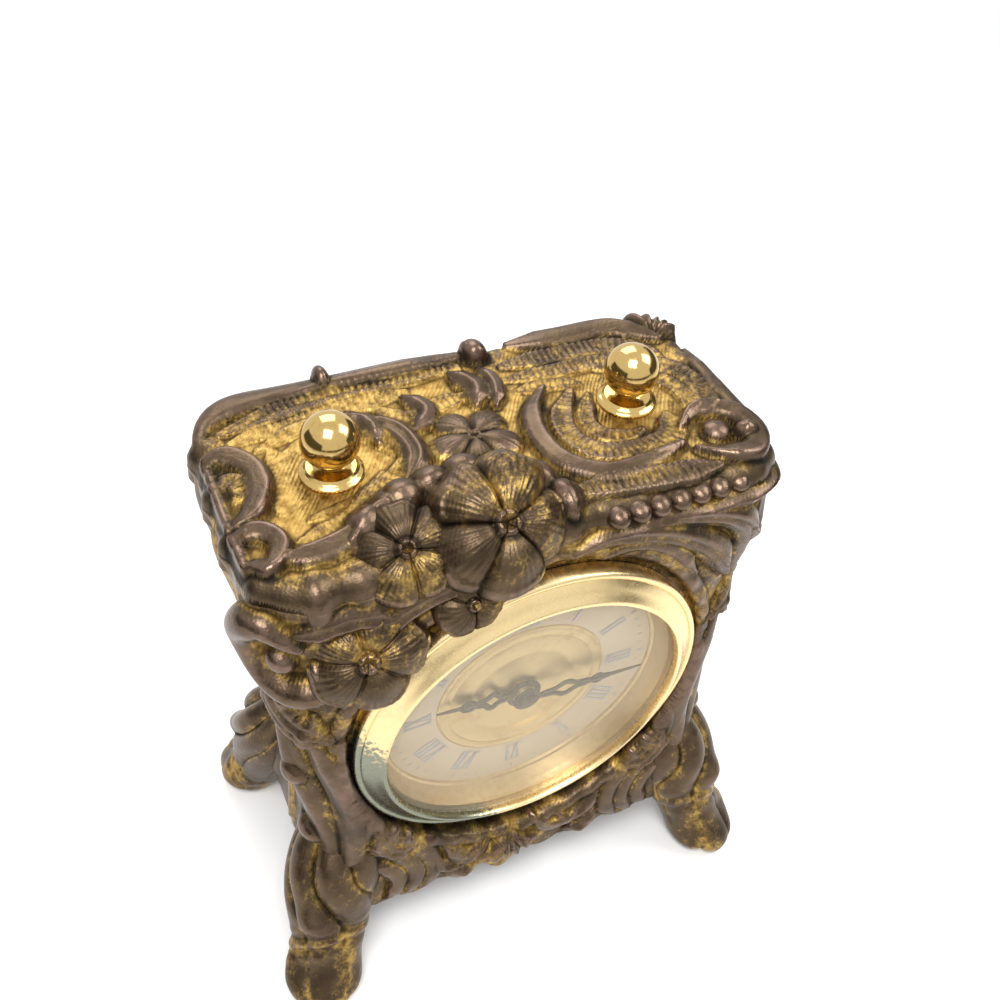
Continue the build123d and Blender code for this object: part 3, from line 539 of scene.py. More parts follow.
@dataclass(frozen=True)
class Shell:
    """A fan of ribs in relief, as a shell or spread leaf."""

    at: Point
    radius: float
    facing: float
    spread: float
    ribs: int
    height: float

    def raise_on(self, x: np.ndarray, y: np.ndarray) -> np.ndarray:
        """Return this fan's height over a panel."""
        dx, dy = x - self.at[0], y - self.at[1]
        r = np.hypot(dx, dy)
        turn = np.angle(np.exp(1j * (np.arctan2(dy, dx) - math.radians(self.facing)))) / math.radians(self.spread / 2)
        inside = np.clip(1 - np.abs(turn), 0, 1)
        lobes = np.abs(np.cos(turn * math.pi * self.ribs / 2))
        rim = self.radius * (0.86 + 0.14 * lobes)
        e = np.clip(r / rim, 0, 1)
        body = np.sqrt(np.clip(1 - e ** 4, 0, 1)) * np.clip(r / (0.25 * self.radius), 0.35, 1)
        return self.height * body * (0.55 + 0.45 * lobes) * np.clip(inside * 6, 0, 1) * (r < rim)


@dataclass(frozen=True)
class Rosette:
    """A flat flower or a round boss in relief."""

    at: Point
    radius: float
    height: float
    petals: int = 5
    turn: float = 0.0

    def raise_on(self, x: np.ndarray, y: np.ndarray) -> np.ndarray:
        """Return this flower's height over a panel."""
        dx, dy = x - self.at[0], y - self.at[1]
        r = np.hypot(dx, dy)
        angle = np.arctan2(dy, dx) + self.turn
        if self.petals == 0:
            return self.height * np.sqrt(np.clip(1 - (r / self.radius) ** 2, 0, 1))
        lobe = np.abs(np.cos(angle * self.petals / 2))
        rim = self.radius * (0.66 + 0.34 * lobe ** 0.6)
        e = np.clip(r / rim, 0, 1)
        petal = np.sin(math.pi * np.clip(0.18 + 0.80 * e, 0, 1)) ** 0.6 * (0.55 + 0.45 * lobe ** 0.5)
        petal *= 1 + 0.07 * np.cos(angle * self.petals * 7) * e
        eye = np.sqrt(np.clip(1 - (r / (0.22 * self.radius)) ** 2, 0, 1))
        dent = np.sqrt(np.clip(1 - (r / (0.09 * self.radius)) ** 2, 0, 1))
        return self.height * np.maximum(petal * (r < rim), eye * 1.05 - 0.5 * dent)


def blur(grid: np.ndarray, reach: int) -> np.ndarray:
    """Return a grid smoothed over a square of the given reach."""
    out = grid
    for axis in (0, 1):
        padded = np.pad(out, [(reach, reach) if a == axis else (0, 0) for a in (0, 1)], mode="edge")
        total = np.cumsum(np.insert(padded, 0, 0.0, axis=axis), axis=axis)
        span = 2 * reach + 1
        upper = np.take(total, range(span, total.shape[axis]), axis=axis)
        lower = np.take(total, range(0, total.shape[axis] - span), axis=axis)
        out = (upper - lower) / span
    return out


def relief(motifs: Sequence[Any], x: np.ndarray, y: np.ndarray) -> np.ndarray:
    """Return the height of overlapping motifs, each laid over those before it."""
    total = np.zeros_like(x)
    for motif in motifs:
        extra = motif.raise_on(x, y)
        total = np.maximum(total, extra + 0.25 * total * (extra > 0))
    return total


def mirrored(motifs: Sequence[Any]) -> list[Any]:
    """Return strokes and bosses mirrored left to right."""
    made: list[Any] = []
    for m in motifs:
        if isinstance(m, Ridge):
            made.append(replace(m, path=tuple((-x, y) for x, y in m.path), lean=-m.lean))
        else:
            made.append(replace(m, at=(-m.at[0], m.at[1])))
    return made


class Panel:
    """A dense grid whose points are laid on a surface and raised along its normals."""

    def __init__(self, name: str, columns: int, rows: int) -> None:
        """Add the grid and read its parameters.

        Args:
            name: Name of the piece.
            columns: Divisions across.
            rows: Divisions up.
        """
        select_none()
        bpy.ops.mesh.primitive_grid_add(x_subdivisions=columns, y_subdivisions=rows, size=2)
        self.piece = active_named(name)
        count = len(self.piece.data.vertices)
        flat = np.empty(count * 3)
        self.piece.data.vertices.foreach_get("co", flat)
        flat = flat.reshape(-1, 3)
        across = int(np.count_nonzero(np.isclose(flat[:, 1], flat[0, 1])))
        self.shape = (count // across, across)
        self.u = ((flat[:, 0] + 1) / 2).reshape(self.shape)
        self.v = ((flat[:, 1] + 1) / 2).reshape(self.shape)

    def lay(self, base: np.ndarray, height: np.ndarray, gilt: np.ndarray, reach: int = 4) -> None:
        """Place the points and store gilding, hollows and crests as the wear attribute, which the material turns into
        gold and painted shade in the hollows and a painted highlight on the crests.

        Args:
            base: Points of the plain surface in millimetres, rows by columns by three.
            height: Height of the relief in millimetres.
            gilt: How much gilding is left, 0 to 1.
            reach: Grid steps over which hollows and crests are judged.
        """
        along = np.gradient(base, axis=1)
        up = np.gradient(base, axis=0)
        normal = np.cross(along, up)
        normal /= np.linalg.norm(normal, axis=2)[:, :, None] + 1e-9
        points = base + normal * height[:, :, None]
        self.piece.data.vertices.foreach_set("co", (points * MM).ravel())
        smooth = blur(blur(height, reach), reach)
        crease = np.clip((blur(height, 2) - height) * 4.0, 0, 0.8)
        hollow = np.clip((smooth - height) * 1.9 + crease, 0, 1)
        crest = np.clip((height - smooth) * 2.0, 0, 1)
        store_wear(self.piece, gilt.ravel(), hollow.ravel(), crest.ravel())
        self.piece.data.update()

    def cut(self, drop: Callable[[np.ndarray], np.ndarray]) -> None:
        """Delete the faces whose middle is in the dropped region."""
        mesh = self.piece.data
        middles = np.empty(len(mesh.polygons) * 3)
        mesh.polygons.foreach_get("center", middles)
        chosen = drop(middles.reshape(-1, 3) / MM)
        activate(self.piece)
        bpy.ops.object.mode_set(mode="EDIT")
        bpy.ops.mesh.select_mode(type="FACE")
        bpy.ops.mesh.select_all(action="DESELECT")
        bpy.ops.object.mode_set(mode="OBJECT")
        mesh.polygons.foreach_set("select", chosen)
        bpy.ops.object.mode_set(mode="EDIT")
        bpy.ops.mesh.delete(type="FACE")
        bpy.ops.object.mode_set(mode="OBJECT")


def store_wear(piece: bpy.types.Object, gilt: np.ndarray, hollow: np.ndarray, crest: np.ndarray) -> None:
    """Store gilding, hollows and crests of each point as a colour attribute."""
    layer = piece.data.color_attributes.new("wear", "FLOAT_COLOR", "POINT")
    rows = np.stack([gilt, hollow, crest, np.ones_like(gilt)], axis=1)
    layer.data.foreach_set("color", rows.ravel())


@dataclass
class CaseBody:
    """The plain body of the casting: rounded rectangles that change with height."""

    levels: tuple[tuple[float, float, float, float], ...] = (
        (8.0, 36.8, -22.8, 20.5),
        (13.0, 36.5, -22.5, 20.5),
        (30.0, 35.5, -20.5, 20.5),
        (52.0, 37.0, -18.8, 21.5),
        (72.0, 39.5, -17.6, 23.0),
        (84.5, 41.5, -17.0, 25.0),
        (88.0, 41.2, -16.6, 24.7),
    )
    corner: float = 9.0
    top: float = 90.5
    half_front: float = 29.0
    side: float = 24.0

    def section(self, z: np.ndarray) -> tuple[np.ndarray, np.ndarray, np.ndarray]:
        """Return half width, front and rear at heights."""
        table = np.array(self.levels)
        return tuple(smooth_interp(z, table[:, 0], table[:, i]) for i in (1, 2, 3))

    def wrap(self, s: np.ndarray, z: np.ndarray) -> np.ndarray:
        """Return points of the body's wall.

        Args:
            s: Distance round the wall in millimetres, 0 at the middle of the front, growing to the right.
            z: Height in millimetres.

        Returns:
            Points with a last axis of three.
        """
        width, front, rear = self.section(z)
        arc = self.corner * math.pi / 2
        a = np.abs(s)
        flip = np.sign(s) + (s == 0)
        run_front = width - self.corner
        run_side = rear - front - 2 * self.corner
        f1, f2 = self.half_front, self.half_front + arc
        f3, f4 = f2 + self.side, f2 + self.side + arc
        turn1 = np.clip((a - f1) / arc, 0, 1) * math.pi / 2
        turn2 = np.clip((a - f3) / arc, 0, 1) * math.pi / 2
        x = np.where(a <= f1, run_front * a / f1, run_front + self.corner * np.sin(turn1))
        y = np.where(a <= f1, front, front + self.corner * (1 - np.cos(turn1)))
        y = np.where(a > f2, front + self.corner + run_side * np.clip((a - f2) / self.side, 0, 1), y)
        x = np.where(a > f3, run_front + self.corner * np.cos(turn2), x)
        y = np.where(a > f3, rear - self.corner + self.corner * np.sin(turn2), y)
        x = np.where(a > f4, run_front * np.clip(1 - (a - f4) / f1, 0, 1), x)
        return np.stack([x * flip, y, z], axis=-1)

    def perimeter(self, x: np.ndarray, y: np.ndarray, z: float) -> np.ndarray:
        """Return the distance round the wall that is nearest to points inside its outline.

        Args:
            x: Places across in millimetres.
            y: Places in depth in millimetres.
            z: Height of the outline in millimetres.

        Returns:
            Distances as wrap takes them.
        """
        width, front, rear = (float(v) for v in self.section(np.array(z)))
        run, low, high = width - self.corner, front + self.corner, rear - self.corner
        a = np.abs(x)
        f2 = self.corner_end
        f3 = f2 + self.side
        f4 = f3 + self.corner * math.pi / 2
        out = np.where(y - front < rear - y, self.half_front * a / run, f4 + self.half_front * (1 - a / run))
        beside = (width - a < y - front) & (width - a < rear - y)
        out = np.where(beside, f2 + self.side * (y - low) / (high - low), out)
        turn1 = np.arctan2(a - run, low - y)
        turn2 = np.arctan2(y - high, a - run)
        out = np.where((a > run) & (y < low), self.half_front + self.corner * turn1, out)
        out = np.where((a > run) & (y > high), f3 + self.corner * turn2, out)
        return out * (np.sign(x) + (x == 0))

    @staticmethod
    def rim(s: np.ndarray) -> np.ndarray:
        """Return how far the upper edge swells at distances round the wall."""
        swell = 0.35 + 0.30 * np.sin(s * 0.62 + 0.6) + 0.20 * np.sin(s * 1.31 + 2.0)
        for at, wide, high in RIM_LUMPS:
            swell = swell + high * np.exp(-((s - at) / wide) ** 2)
        return np.clip(swell, 0, None)

    @property
    def corner_end(self) -> float:
        """Distance round the wall at which the front corner ends."""
        return self.half_front + self.corner * math.pi / 2

    @property
    def seam(self) -> float:
        """Distance round the wall of the bead down the side."""
        return self.corner_end + 0.46 * self.side

    @property
    def half_round(self) -> float:
        """Distance round the wall from the middle of the front to the middle of the rear."""
        return 2 * self.half_front + self.corner * math.pi + self.side


def smooth_interp(x: np.ndarray, places: np.ndarray, values: np.ndarray) -> np.ndarray:
    """Return values interpolated with smooth slopes through the given places."""
    slopes = np.gradient(values, places)
    i = np.clip(np.searchsorted(places, x) - 1, 0, len(places) - 2)
    span = places[i + 1] - places[i]
    t = np.clip((x - places[i]) / span, 0, 1)
    h00, h10 = 2 * t ** 3 - 3 * t ** 2 + 1, t ** 3 - 2 * t ** 2 + t
    h01, h11 = -2 * t ** 3 + 3 * t ** 2, t ** 3 - t ** 2
    return h00 * values[i] + h10 * span * slopes[i] + h01 * values[i + 1] + h11 * span * slopes[i + 1]


RIM_LUMPS = (
    (-37.0, 3.4, 0.5), (-47.5, 2.6, 0.9), (-57.0, 3.2, 0.8), (-66.0, 2.8, 0.9), (37.0, 4.0, 1.5), (30.0, 2.2, 0.5),
    (48.0, 3.0, 0.8), (-23.5, 2.2, 0.9), (-30.5, 2.4, 1.1), (60.0, 3.0, 0.9), (72.0, 3.0, 1.2), (-78.0, 3.5, 0.9),
)
TOP_MOTIFS: list[Any] = [
    Ridge(((-36, 14.6), (-28, 16.6), (-18, 17.4), (-8, 17.6)), 1.5, 0.9, grooves=2),
    Ridge(((-33, -1), (-30, 5), (-31, 11)), 2.0, 0.7, grooves=3),
    Ridge(((-18, 13), (-13, 9), (-12, 3), (-15, -2)), 2.0, 1.9, grooves=3),
    Ridge(((-20.5, 15), (-16.5, 12), (-16, 7)), 1.5, 1.8, grooves=2),
    Ridge(((-9, 16), (-7, 11.5), (-10, 8)), 1.7, 1.9, grooves=2),
    Ridge(((0, 19), (2.4, 14.5), (1, 10.5)), 1.8, 2.0, grooves=2),
    Ridge(((5, 18.6), (5.4, 14), (4, 9.5)), 1.5, 1.9, grooves=2),
    Ridge(((20, 19.6), (24, 15), (29, 12.5), (33, 8)), 1.8, 1.2, grooves=3),
    Ridge(((27, 20), (31, 16), (35, 11)), 1.6, 1.3, grooves=2),
    Ridge(((-33, -8.4), (-26, -7.2), (-20, -3), (-17.5, 1)), 1.8, 1.1, grooves=3),
    Ridge(((22, -8.6), (27, -5), (28.5, -1)), 1.6, 1.1, grooves=2),
    Ridge(((-14, 15.5), (-9.7, 11), (-4, 12.8), (1.2, 13.6)), 1.2, 1.1),
    Ridge(((-33, 12), (-24, 14.8), (-15, 12.5), (-12, 6)), 1.0, 0.8),
    Ridge(((-31, 9), (-24, 11.6), (-17, 9.4), (-14.5, 4.5)), 0.9, 0.7),
    Ridge(((-30, -4), (-22, -3), (-14, 2), (-11, 7)), 1.0, 0.9),
    Ridge(((-31, -7), (-23, -5.6), (-15, -1.5)), 0.9, 0.8),
    Ridge(((-37, 17), (-28.7, 19), (-18.8, 20.6), (-7, 20.8), (2, 20.6)), 1.3, 1.5),
    Ridge(((9, 18.5), (18, 18), (27, 17.6), (34, 14)), 1.3, 1.5),
    Ridge(((8, 15), (17, 14.5), (24, 14.2), (31, 11)), 1.1, 1.2),
    Ridge(((8.5, 12), (15, 11.5), (19, 10.5)), 0.9, 0.9),
    Ridge(((19, 7.5), (15.8, 2), (16.5, -2), (20, -3.5), (23, -2.8)), 1.0, 1.2),
    Ridge(((16.5, 9), (12.5, 4), (11.5, -0.5), (13.5, -5), (18.6, -6.8), (24.5, -5.2)), 1.3, 1.6),
    Ridge(((12.5, 11), (8.3, 6), (6.8, 0), (8, -6), (13, -10.3), (20, -10.2), (27, -8.4)), 1.6, 2.1),
    Ridge(((30, 9), (33, 5), (33.5, 0), (31, -3)), 1.1, 1.1),
    Ridge(((33.5, 12), (36.5, 6), (36.6, 0), (34, -3.4)), 1.2, 1.4),
    Ridge(((5.7, -11.8), (14, -12.8), (23.4, -13.6), (30, -14)), 1.3, 1.7),
    Rosette((-2.5, 3.2), 7.4, 2.1, 5, 0.5),
    Ridge(((-42, 10.8), (-38, 11.8), (-35, 8.6), (-34.7, 4), (-37, -0.5), (-40.5, -2.2)), 1.7, 2.2),
    Ridge(((-40, 6.5), (-38, 6.8), (-37.2, 4.4), (-38.4, 2.6)), 1.0, 1.4),
    Ridge(((-41, -4.6), (-37, -4.6), (-35.2, -7.6), (-37.2, -10.6), (-39.6, -9)), 1.5, 2.3),
    Ridge(((-36, -10.5), (-30.6, -11), (-24, -9), (-20, -7)), 1.7, 2.3),
    Ridge(((28.6, -5), (32.6, -2.6), (37.2, -4.2), (38.9, -8.8), (36.4, -12.6), (32, -12.6), (28.4, -10)), 1.5, 2.5),
    Rosette((33.4, -7.4), 2.5, 1.9, 0),
    Rosette((37.0, -9.4), 1.8, 2.7, 0),
    Shell((36.5, 17.5), 7.0, 55, 150, 6, 2.6),
    Ridge(((-40.6, 15), (-38, 20.3), (-29, 22.8), (-19.5, 23.4), (-8, 23.0), (4, 22.8)), 1.9, 2.4),
    Ridge(((12, 22.8), (20.5, 21.8), (30, 21.3), (37, 16.5)), 1.8, 2.4),
    Rosette((5.8, 22.6), 2.4, 3.2, 0),
    Rosette((-19.5, 23.2), 1.6, 3.4, 0),
    Ridge(((-40.9, 14), (-41.3, 5), (-41.2, -4), (-40.4, -12)), 1.5, 1.9),
    Ridge(((40.2, 13), (40.0, 4), (39.8, -4), (39.6, -10)), 1.5, 2.0),
    Ridge(((-26, -11), (-22, -7.4), (-17, -5.6), (-8, -4.2), (-1, -6), (3.4, -10.6), (4.6, -15)), 2.4, 3.2, grooves=2),
    Rosette((-23.4, -8.2), 3.1, 2.8, 0),
    Rosette((-17.2, -5.2), 3.4, 3.1, 0),
    Rosette((-12.4, -3.9), 3.1, 3.1, 0),
    Rosette((-7.4, -3.4), 3.5, 3.4, 0),
    Rosette((-2.2, -4.4), 3.3, 3.2, 0),
    Rosette((2.2, -8.2), 3.4, 3.1, 0),
    Rosette((4.6, -12.6), 3.0, 2.7, 0),
]

LEFT_POST: list[Any] = [
    Ridge(((42.5, 58), (41, 48), (37.6, 38), (36, 28), (37.4, 17)), 2.9, 2.7, grooves=2),
    Ridge(((36.4, 60), (34.4, 50), (33, 40), (33.6, 30), (36, 19)), 2.2, 2.3, grooves=2, lean=-0.35),
    Ridge(((31.6, 58), (31.4, 48), (29.4, 38), (30.6, 28)), 1.6, 1.7),
    Ridge(((44, 46), (42.6, 38), (40.4, 30), (40.2, 20)), 1.7, 1.8),
    Ridge(((41.5, 67.5), (38.6, 62), (33.5, 59.5)), 3.6, 2.5, grooves=4, lobes=5),
    Ridge(((29, 33), (27, 28.5), (22.5, 26.5)), 3.0, 2.3, grooves=4, lobes=5),
    Ridge(((30, 23.4), (26.6, 21), (25.2, 17), (27.4, 12.6)), 1.6, 1.5, lean=0.2),
    Ridge(((28, 26), (23.4, 22.6), (21.6, 17), (24, 12)), 1.6, 1.5, lean=0.2),
    Ridge(((24, 27), (19.8, 22.6), (18.2, 17), (20.4, 12)), 1.5, 1.4, lean=0.2),
    Rosette((40.6, 47), 2.7, 2.9, 0),
    Rosette((39.6, 32), 2.8, 3.2, 0),
    Ridge(((16, 22), (13, 18.6), (9.5, 18), (7.4, 20)), 1.5, 1.8, grooves=2),
    Ridge(((15.6, 16.4), (12.5, 13.2), (9, 12.6)), 1.6, 1.8, grooves=2, lobes=3),
]

FRONT_MOTIFS: list[Any] = [
    Shell((-3.5, 20.5), 9.0, -90, 120, 7, 2.4),
    Ridge(((2, 20.6), (5.6, 17), (10, 17.4), (12, 20)), 1.3, 1.6),
    Ridge(((-9, 20.6), (-12, 17), (-16, 17.2), (-18, 20)), 1.3, 1.6),
    Ridge(((4, 84), (10, 85.4), (18, 83), (27, 77), (33, 69)), 2.0, 2.0, grooves=3),
    Ridge(((7, 81.6), (13, 82.4), (20, 78.6), (26, 72)), 1.3, 1.5, grooves=2),
    Ridge(((15, 86.4), (23, 85.2), (31, 81), (36, 73), (37, 65)), 2.0, 2.2, grooves=3),
    Ridge(((25, 86), (33, 86.4), (39, 84), (40, 79), (36.5, 76), (33.5, 78.5)), 2.1, 2.9, grooves=2),
    Ridge(((-5, 84), (-12, 85), (-19, 83), (-24, 77), (-30, 67)), 1.8, 1.9, grooves=3),
    Ridge(((-20, 82.6), (-26, 84.4), (-33, 83.6)), 2.2, 1.9, grooves=3, lobes=4),
    Ridge(((-32.6, 81.4), (-37.4, 84.2), (-42, 79.8), (-41.2, 74), (-36.6, 70.4), (-31.6, 72), (-31.6, 76.4)),
          2.2, 3.2, grooves=0, lean=0.0),
    Rosette((-36.0, 77.4), 2.2, 2.4, 0),
]


@dataclass
class Casting:
    """The cast case: relief panels, blossoms, beads, legs, floor and rear frame."""

    material: bpy.types.Material
    body: CaseBody = field(default_factory=CaseBody)
    dial_z: float = DIAL_Z
    finials: tuple[Point, Point] = ((-FINIAL_X, FINIAL_Y), (FINIAL_X, FINIAL_Y))
    foot_z: float = 12.0
    edge_z: float = 88.0
    outline_z: float = 87.6
    underside_z: float = 13.0
    opening_r: float = 28.9
    seat_r: float = 31.6
    seat_y: float = -16.9
    cover_w: float = 58.4
    cover_h: float = 62.4
    cover_r: float = 8.0
    cover_y: float = 17.0
    cover_lap: float = 0.6
    front_leg: tuple[Level, ...] = (
        (36.0, 29.0, -11.5, 3.0, 3.0), (24.0, 32.6, -16.2, 7.4, 7.4), (14.0, 34.8, -19.0, 7.2, 7.0),
        (7.0, 36.9, -22.6, 6.0, 6.6), (2.0, 38.6, -25.4, 6.2, 6.8), (0.0, 38.6, -25.4, 5.7, 6.2),
    )
    rear_leg: tuple[Level, ...] = (
        (36.0, 29.0, 10.0, 3.0, 3.0), (24.0, 35.4, 13.6, 5.2, 6.0), (14.0, 35.6, 15.6, 6.4, 6.4),
        (7.0, 36.9, 17.8, 6.0, 6.2), (2.0, 38.6, 19.8, 6.2, 6.4), (0.0, 38.6, 19.8, 5.7, 5.9),
    )

    def build(self) -> None:
        """Build every piece of the casting and put it on the case."""
        pieces = [self.front(), self.top()]
        pieces += [self.flank(side) for side in Side]
        pieces += [self.rear(), self.rear_frame(), self.floor()]
        pieces += [*self.blossoms(), self.beads()]
        for side in Side:
            pieces.append(self.leg(f"leg_front_{side.name.lower()}", self.front_leg, side, -1))
            pieces.append(self.leg(f"leg_rear_{side.name.lower()}", self.rear_leg, side, 1))
        stands_for = ["case_casting"]
        for piece in pieces:
            settle(piece, "case", Slot.CAST_GILT, self.material, *stands_for)
            stands_for = []

    def apron_edge(self, s: np.ndarray) -> np.ndarray:
        """Return the height of the lower edge of the front."""
        wave = 12.6 - 1.5 * np.abs(np.cos((s + 4) * 0.36)) ** 1.5
        drop = 2.4 * np.exp(-((s + 4) / 3.2) ** 2)
        return wave - drop + 1.6 * np.clip((np.abs(s) - 27) / 6, 0, 1)

    def wall_height(self, s: np.ndarray, z: np.ndarray, base: np.ndarray) -> np.ndarray:
        """Return the relief of the whole wall, so that its panels meet.

        Args:
            s: Distance round the wall in millimetres.
            z: Height in millimetres.
            base: Points of the plain wall in millimetres.

        Returns:
            Height of the relief in millimetres.
        """
        body, a = self.body, np.abs(s)
        x = base[:, :, 0]
        height = relief(LEFT_POST + mirrored(LEFT_POST) + FRONT_MOTIFS, s, z)
        height *= np.clip((body.corner_end + 5.0 - a) / 3.5, 0, 1)
        r = np.hypot(x, z - self.dial_z)
        beading = 0.8 + 0.2 * np.cos(np.arctan2(z - self.dial_z, x) * 44)
        ring = np.clip(1 - ((r - 32.6) / 1.5) ** 2, 0, 1) * beading
        height = np.maximum(height, ring * (a < body.corner_end))
        flank = 0.9 * np.exp(-((a - body.seam) / 1.1) ** 2) + 0.7 * np.exp(-((a - body.seam - 10.5) / 1.6) ** 2)
        height = np.maximum(height, flank * (a > body.corner_end))
        gap = np.maximum(np.abs(x) - self.cover_w / 2, np.abs(z - self.dial_z) - self.cover_h / 2)
        back = 1.1 * np.exp(-((gap - 3.0) / 1.3) ** 2)
        back += 0.8 * np.exp(-((gap - 6.5) / 1.0) ** 2) * np.abs(np.cos(z * 0.35 + x * 0.2))
        height = np.maximum(height, back * np.clip((a - body.corner_end - body.side) / 3.0, 0, 1))
        below = self.edge_z - z
        height *= np.clip(below / 2.0, 0, 1) * np.clip((z - self.apron_edge(s)) / 1.6, 0.25, 1)
        lip = body.rim(s) * np.clip(1 - below / 5.0, 0, 1) ** 0.8 * np.clip(0.55 + below, 0, 1)
        return np.maximum(height, lip) - 0.4 * np.clip(1 - below / 0.8, 0, 1)

    def front(self) -> bpy.types.Object:
        """Build the front with its rounded corners."""
        panel = Panel("casting_front", 340, 270)
        half = self.body.corner_end + 3.0
        s = (panel.u * 2 - 1) * half
        z = self.apron_edge(s) + panel.v * (self.edge_z - self.apron_edge(s))
        base = self.body.wrap(s, z)
        height = self.wall_height(s, z, base)
        r = np.hypot(base[:, :, 0], z - self.dial_z)
        middle = np.exp(-((z - 14) / 6) ** 2) * np.exp(-((s + 4) / 8) ** 2)
        leaves = np.exp(-((z - 63) / 4) ** 2) + 0.8 * np.exp(-((z - 27) / 4) ** 2)
        gilt = np.clip(0.20 + 0.55 * middle + 0.34 * leaves * (np.abs(s) > 20) + 0.12 * (z > 72), 0, 1)
        deep = np.clip(blur(height, 5) - height, 0, 0.6)
        gilt = np.clip(gilt + 0.8 * deep, 0, 1) * np.clip(1.3 - height / 2.6, 0.3, 1)
        seat = np.clip((self.seat_r - r) / 1.2, 0, 1)
        height = height * (1 - seat)
        base[:, :, 1] = base[:, :, 1] * (1 - seat) + np.maximum(base[:, :, 1], self.seat_y) * seat
        panel.lay(base, height, gilt)
        panel.cut(lambda c: np.hypot(c[:, 0], c[:, 2] - self.dial_z) < self.opening_r)
        return shade_smooth(panel.piece)

    def top(self) -> bpy.types.Object:
        """Build the top with its rounded edge."""
        panel = Panel("casting_top", 330, 170)
        width, front, rear = (float(v) for v in self.body.section(np.array(self.outline_z)))
        mid, deep = (front + rear) / 2, (rear - front) / 2
        x = (panel.u * 2 - 1) * width
        y = (panel.v * 2 - 1) * deep
        corner = self.body.corner
        cx, cy = np.abs(x) - (width - corner), np.abs(y) - (deep - corner)
        out = (cx > 0) & (cy > 0)
        far = np.hypot(cx, cy)
        pull = np.where(out & (far > corner), corner / np.maximum(far, 1e-6), 1.0)
        x = np.where(out, np.sign(x) * (width - corner + cx * pull), x)
        y = np.where(out, np.sign(y) * (deep - corner + cy * pull), y)
        cx, cy = np.abs(x) - (width - corner), np.abs(y) - (deep - corner)
        straight = np.minimum(width - np.abs(x), deep - np.abs(y))
        edge = np.where((cx > 0) & (cy > 0), corner - np.hypot(cx, cy), straight)
        round_r = 3.2
        drop = round_r - np.sqrt(np.clip(round_r ** 2 - (round_r - edge) ** 2, 0, None))
        fall = np.where(edge < round_r, drop, 0)
        y = y + mid
        base = np.stack([x, y, self.body.top - fall], axis=-1)
        bands = [m.banded() if isinstance(m, Ridge) and m.height < 1.75 else m for m in TOP_MOTIFS]
        height = relief(bands, x, y)
        for fx, fy in self.finials:
            height *= np.clip((np.hypot(x - fx, y - fy) - 4.9) / 1.2, 0, 1)
        height *= np.clip(edge / 1.2, 0, 1)
        swell = self.body.rim(self.body.perimeter(x, y, self.outline_z))
        height = np.maximum(height, swell * np.clip(1 - edge / 4.5, 0, 1) ** 0.8)
        gilt = np.clip(1.10 - height / 1.5, 0.06, 1) * np.clip(edge / 5 + 0.1, 0, 1)
        gilt *= 0.95 - 0.24 * np.clip((x + 2) / 12, 0, 1) - 0.15 * np.clip((y - 12) / 8, 0, 1)
        panel.lay(base, height, gilt)
        self.skirt(panel)
        return shade_smooth(panel.piece)

    def skirt(self, panel: Panel) -> None:
        """Turn the outermost points of the top down behind the walls."""
        mesh = panel.piece.data
        points = np.empty(len(mesh.vertices) * 3)
        mesh.vertices.foreach_get("co", points)
        points = points.reshape(*panel.shape, 3)
        rim = (panel.u < 1e-6) | (panel.u > 1 - 1e-6) | (panel.v < 1e-6) | (panel.v > 1 - 1e-6)
        points[rim] = points[rim] * (0.9985, 0.9985, 1.0) - (0.0, 0.0, 2.4 * MM)
        mesh.vertices.foreach_set("co", points.ravel())
        mesh.update()

    def flank(self, side: Side) -> bpy.types.Object:
        """Build one smooth side with its seam bead."""
        panel = Panel(f"casting_side_{side.name.lower()}", 60, 150)
        start, end = self.body.corner_end + 2.0, self.body.corner_end + self.body.side + 0.5
        u = panel.u if side is Side.RIGHT else 1 - panel.u
        s = (start + u * (end - start)) * side.value
        z = self.foot_z + panel.v * (self.edge_z - self.foot_z)
        base = self.body.wrap(s, z)
        height = self.wall_height(s, z, base)
        gilt = np.clip(0.10 + 0.80 * np.exp(-((np.abs(s) - self.body.seam) / 1.2) ** 2), 0, 1)
        panel.lay(base, height, gilt)
        return shade_smooth(panel.piece)

    def rear(self) -> bpy.types.Object:
        """Build the rear with its corners, open where the cover sits."""
        panel = Panel("casting_rear", 190, 150)
        start = self.body.corner_end + self.body.side
        span = 2 * (self.body.half_round - start)
        s = start + panel.u * span
        s = np.where(s > self.body.half_round, s - 2 * self.body.half_round, s)
        z = self.foot_z + panel.v * (self.edge_z - self.foot_z)
        base = self.body.wrap(s, z)
        panel.lay(base, self.wall_height(s, z, base), np.full_like(s, 0.2))
        lap = self.cover_lap
        inside = rounded_inside(self.cover_w + 2 * lap, self.cover_h + 2 * lap, self.cover_r + lap)
        panel.cut(lambda c: (c[:, 1] > 10) & inside(c[:, 0], c[:, 2] - self.dial_z))
        return shade_smooth(panel.piece)

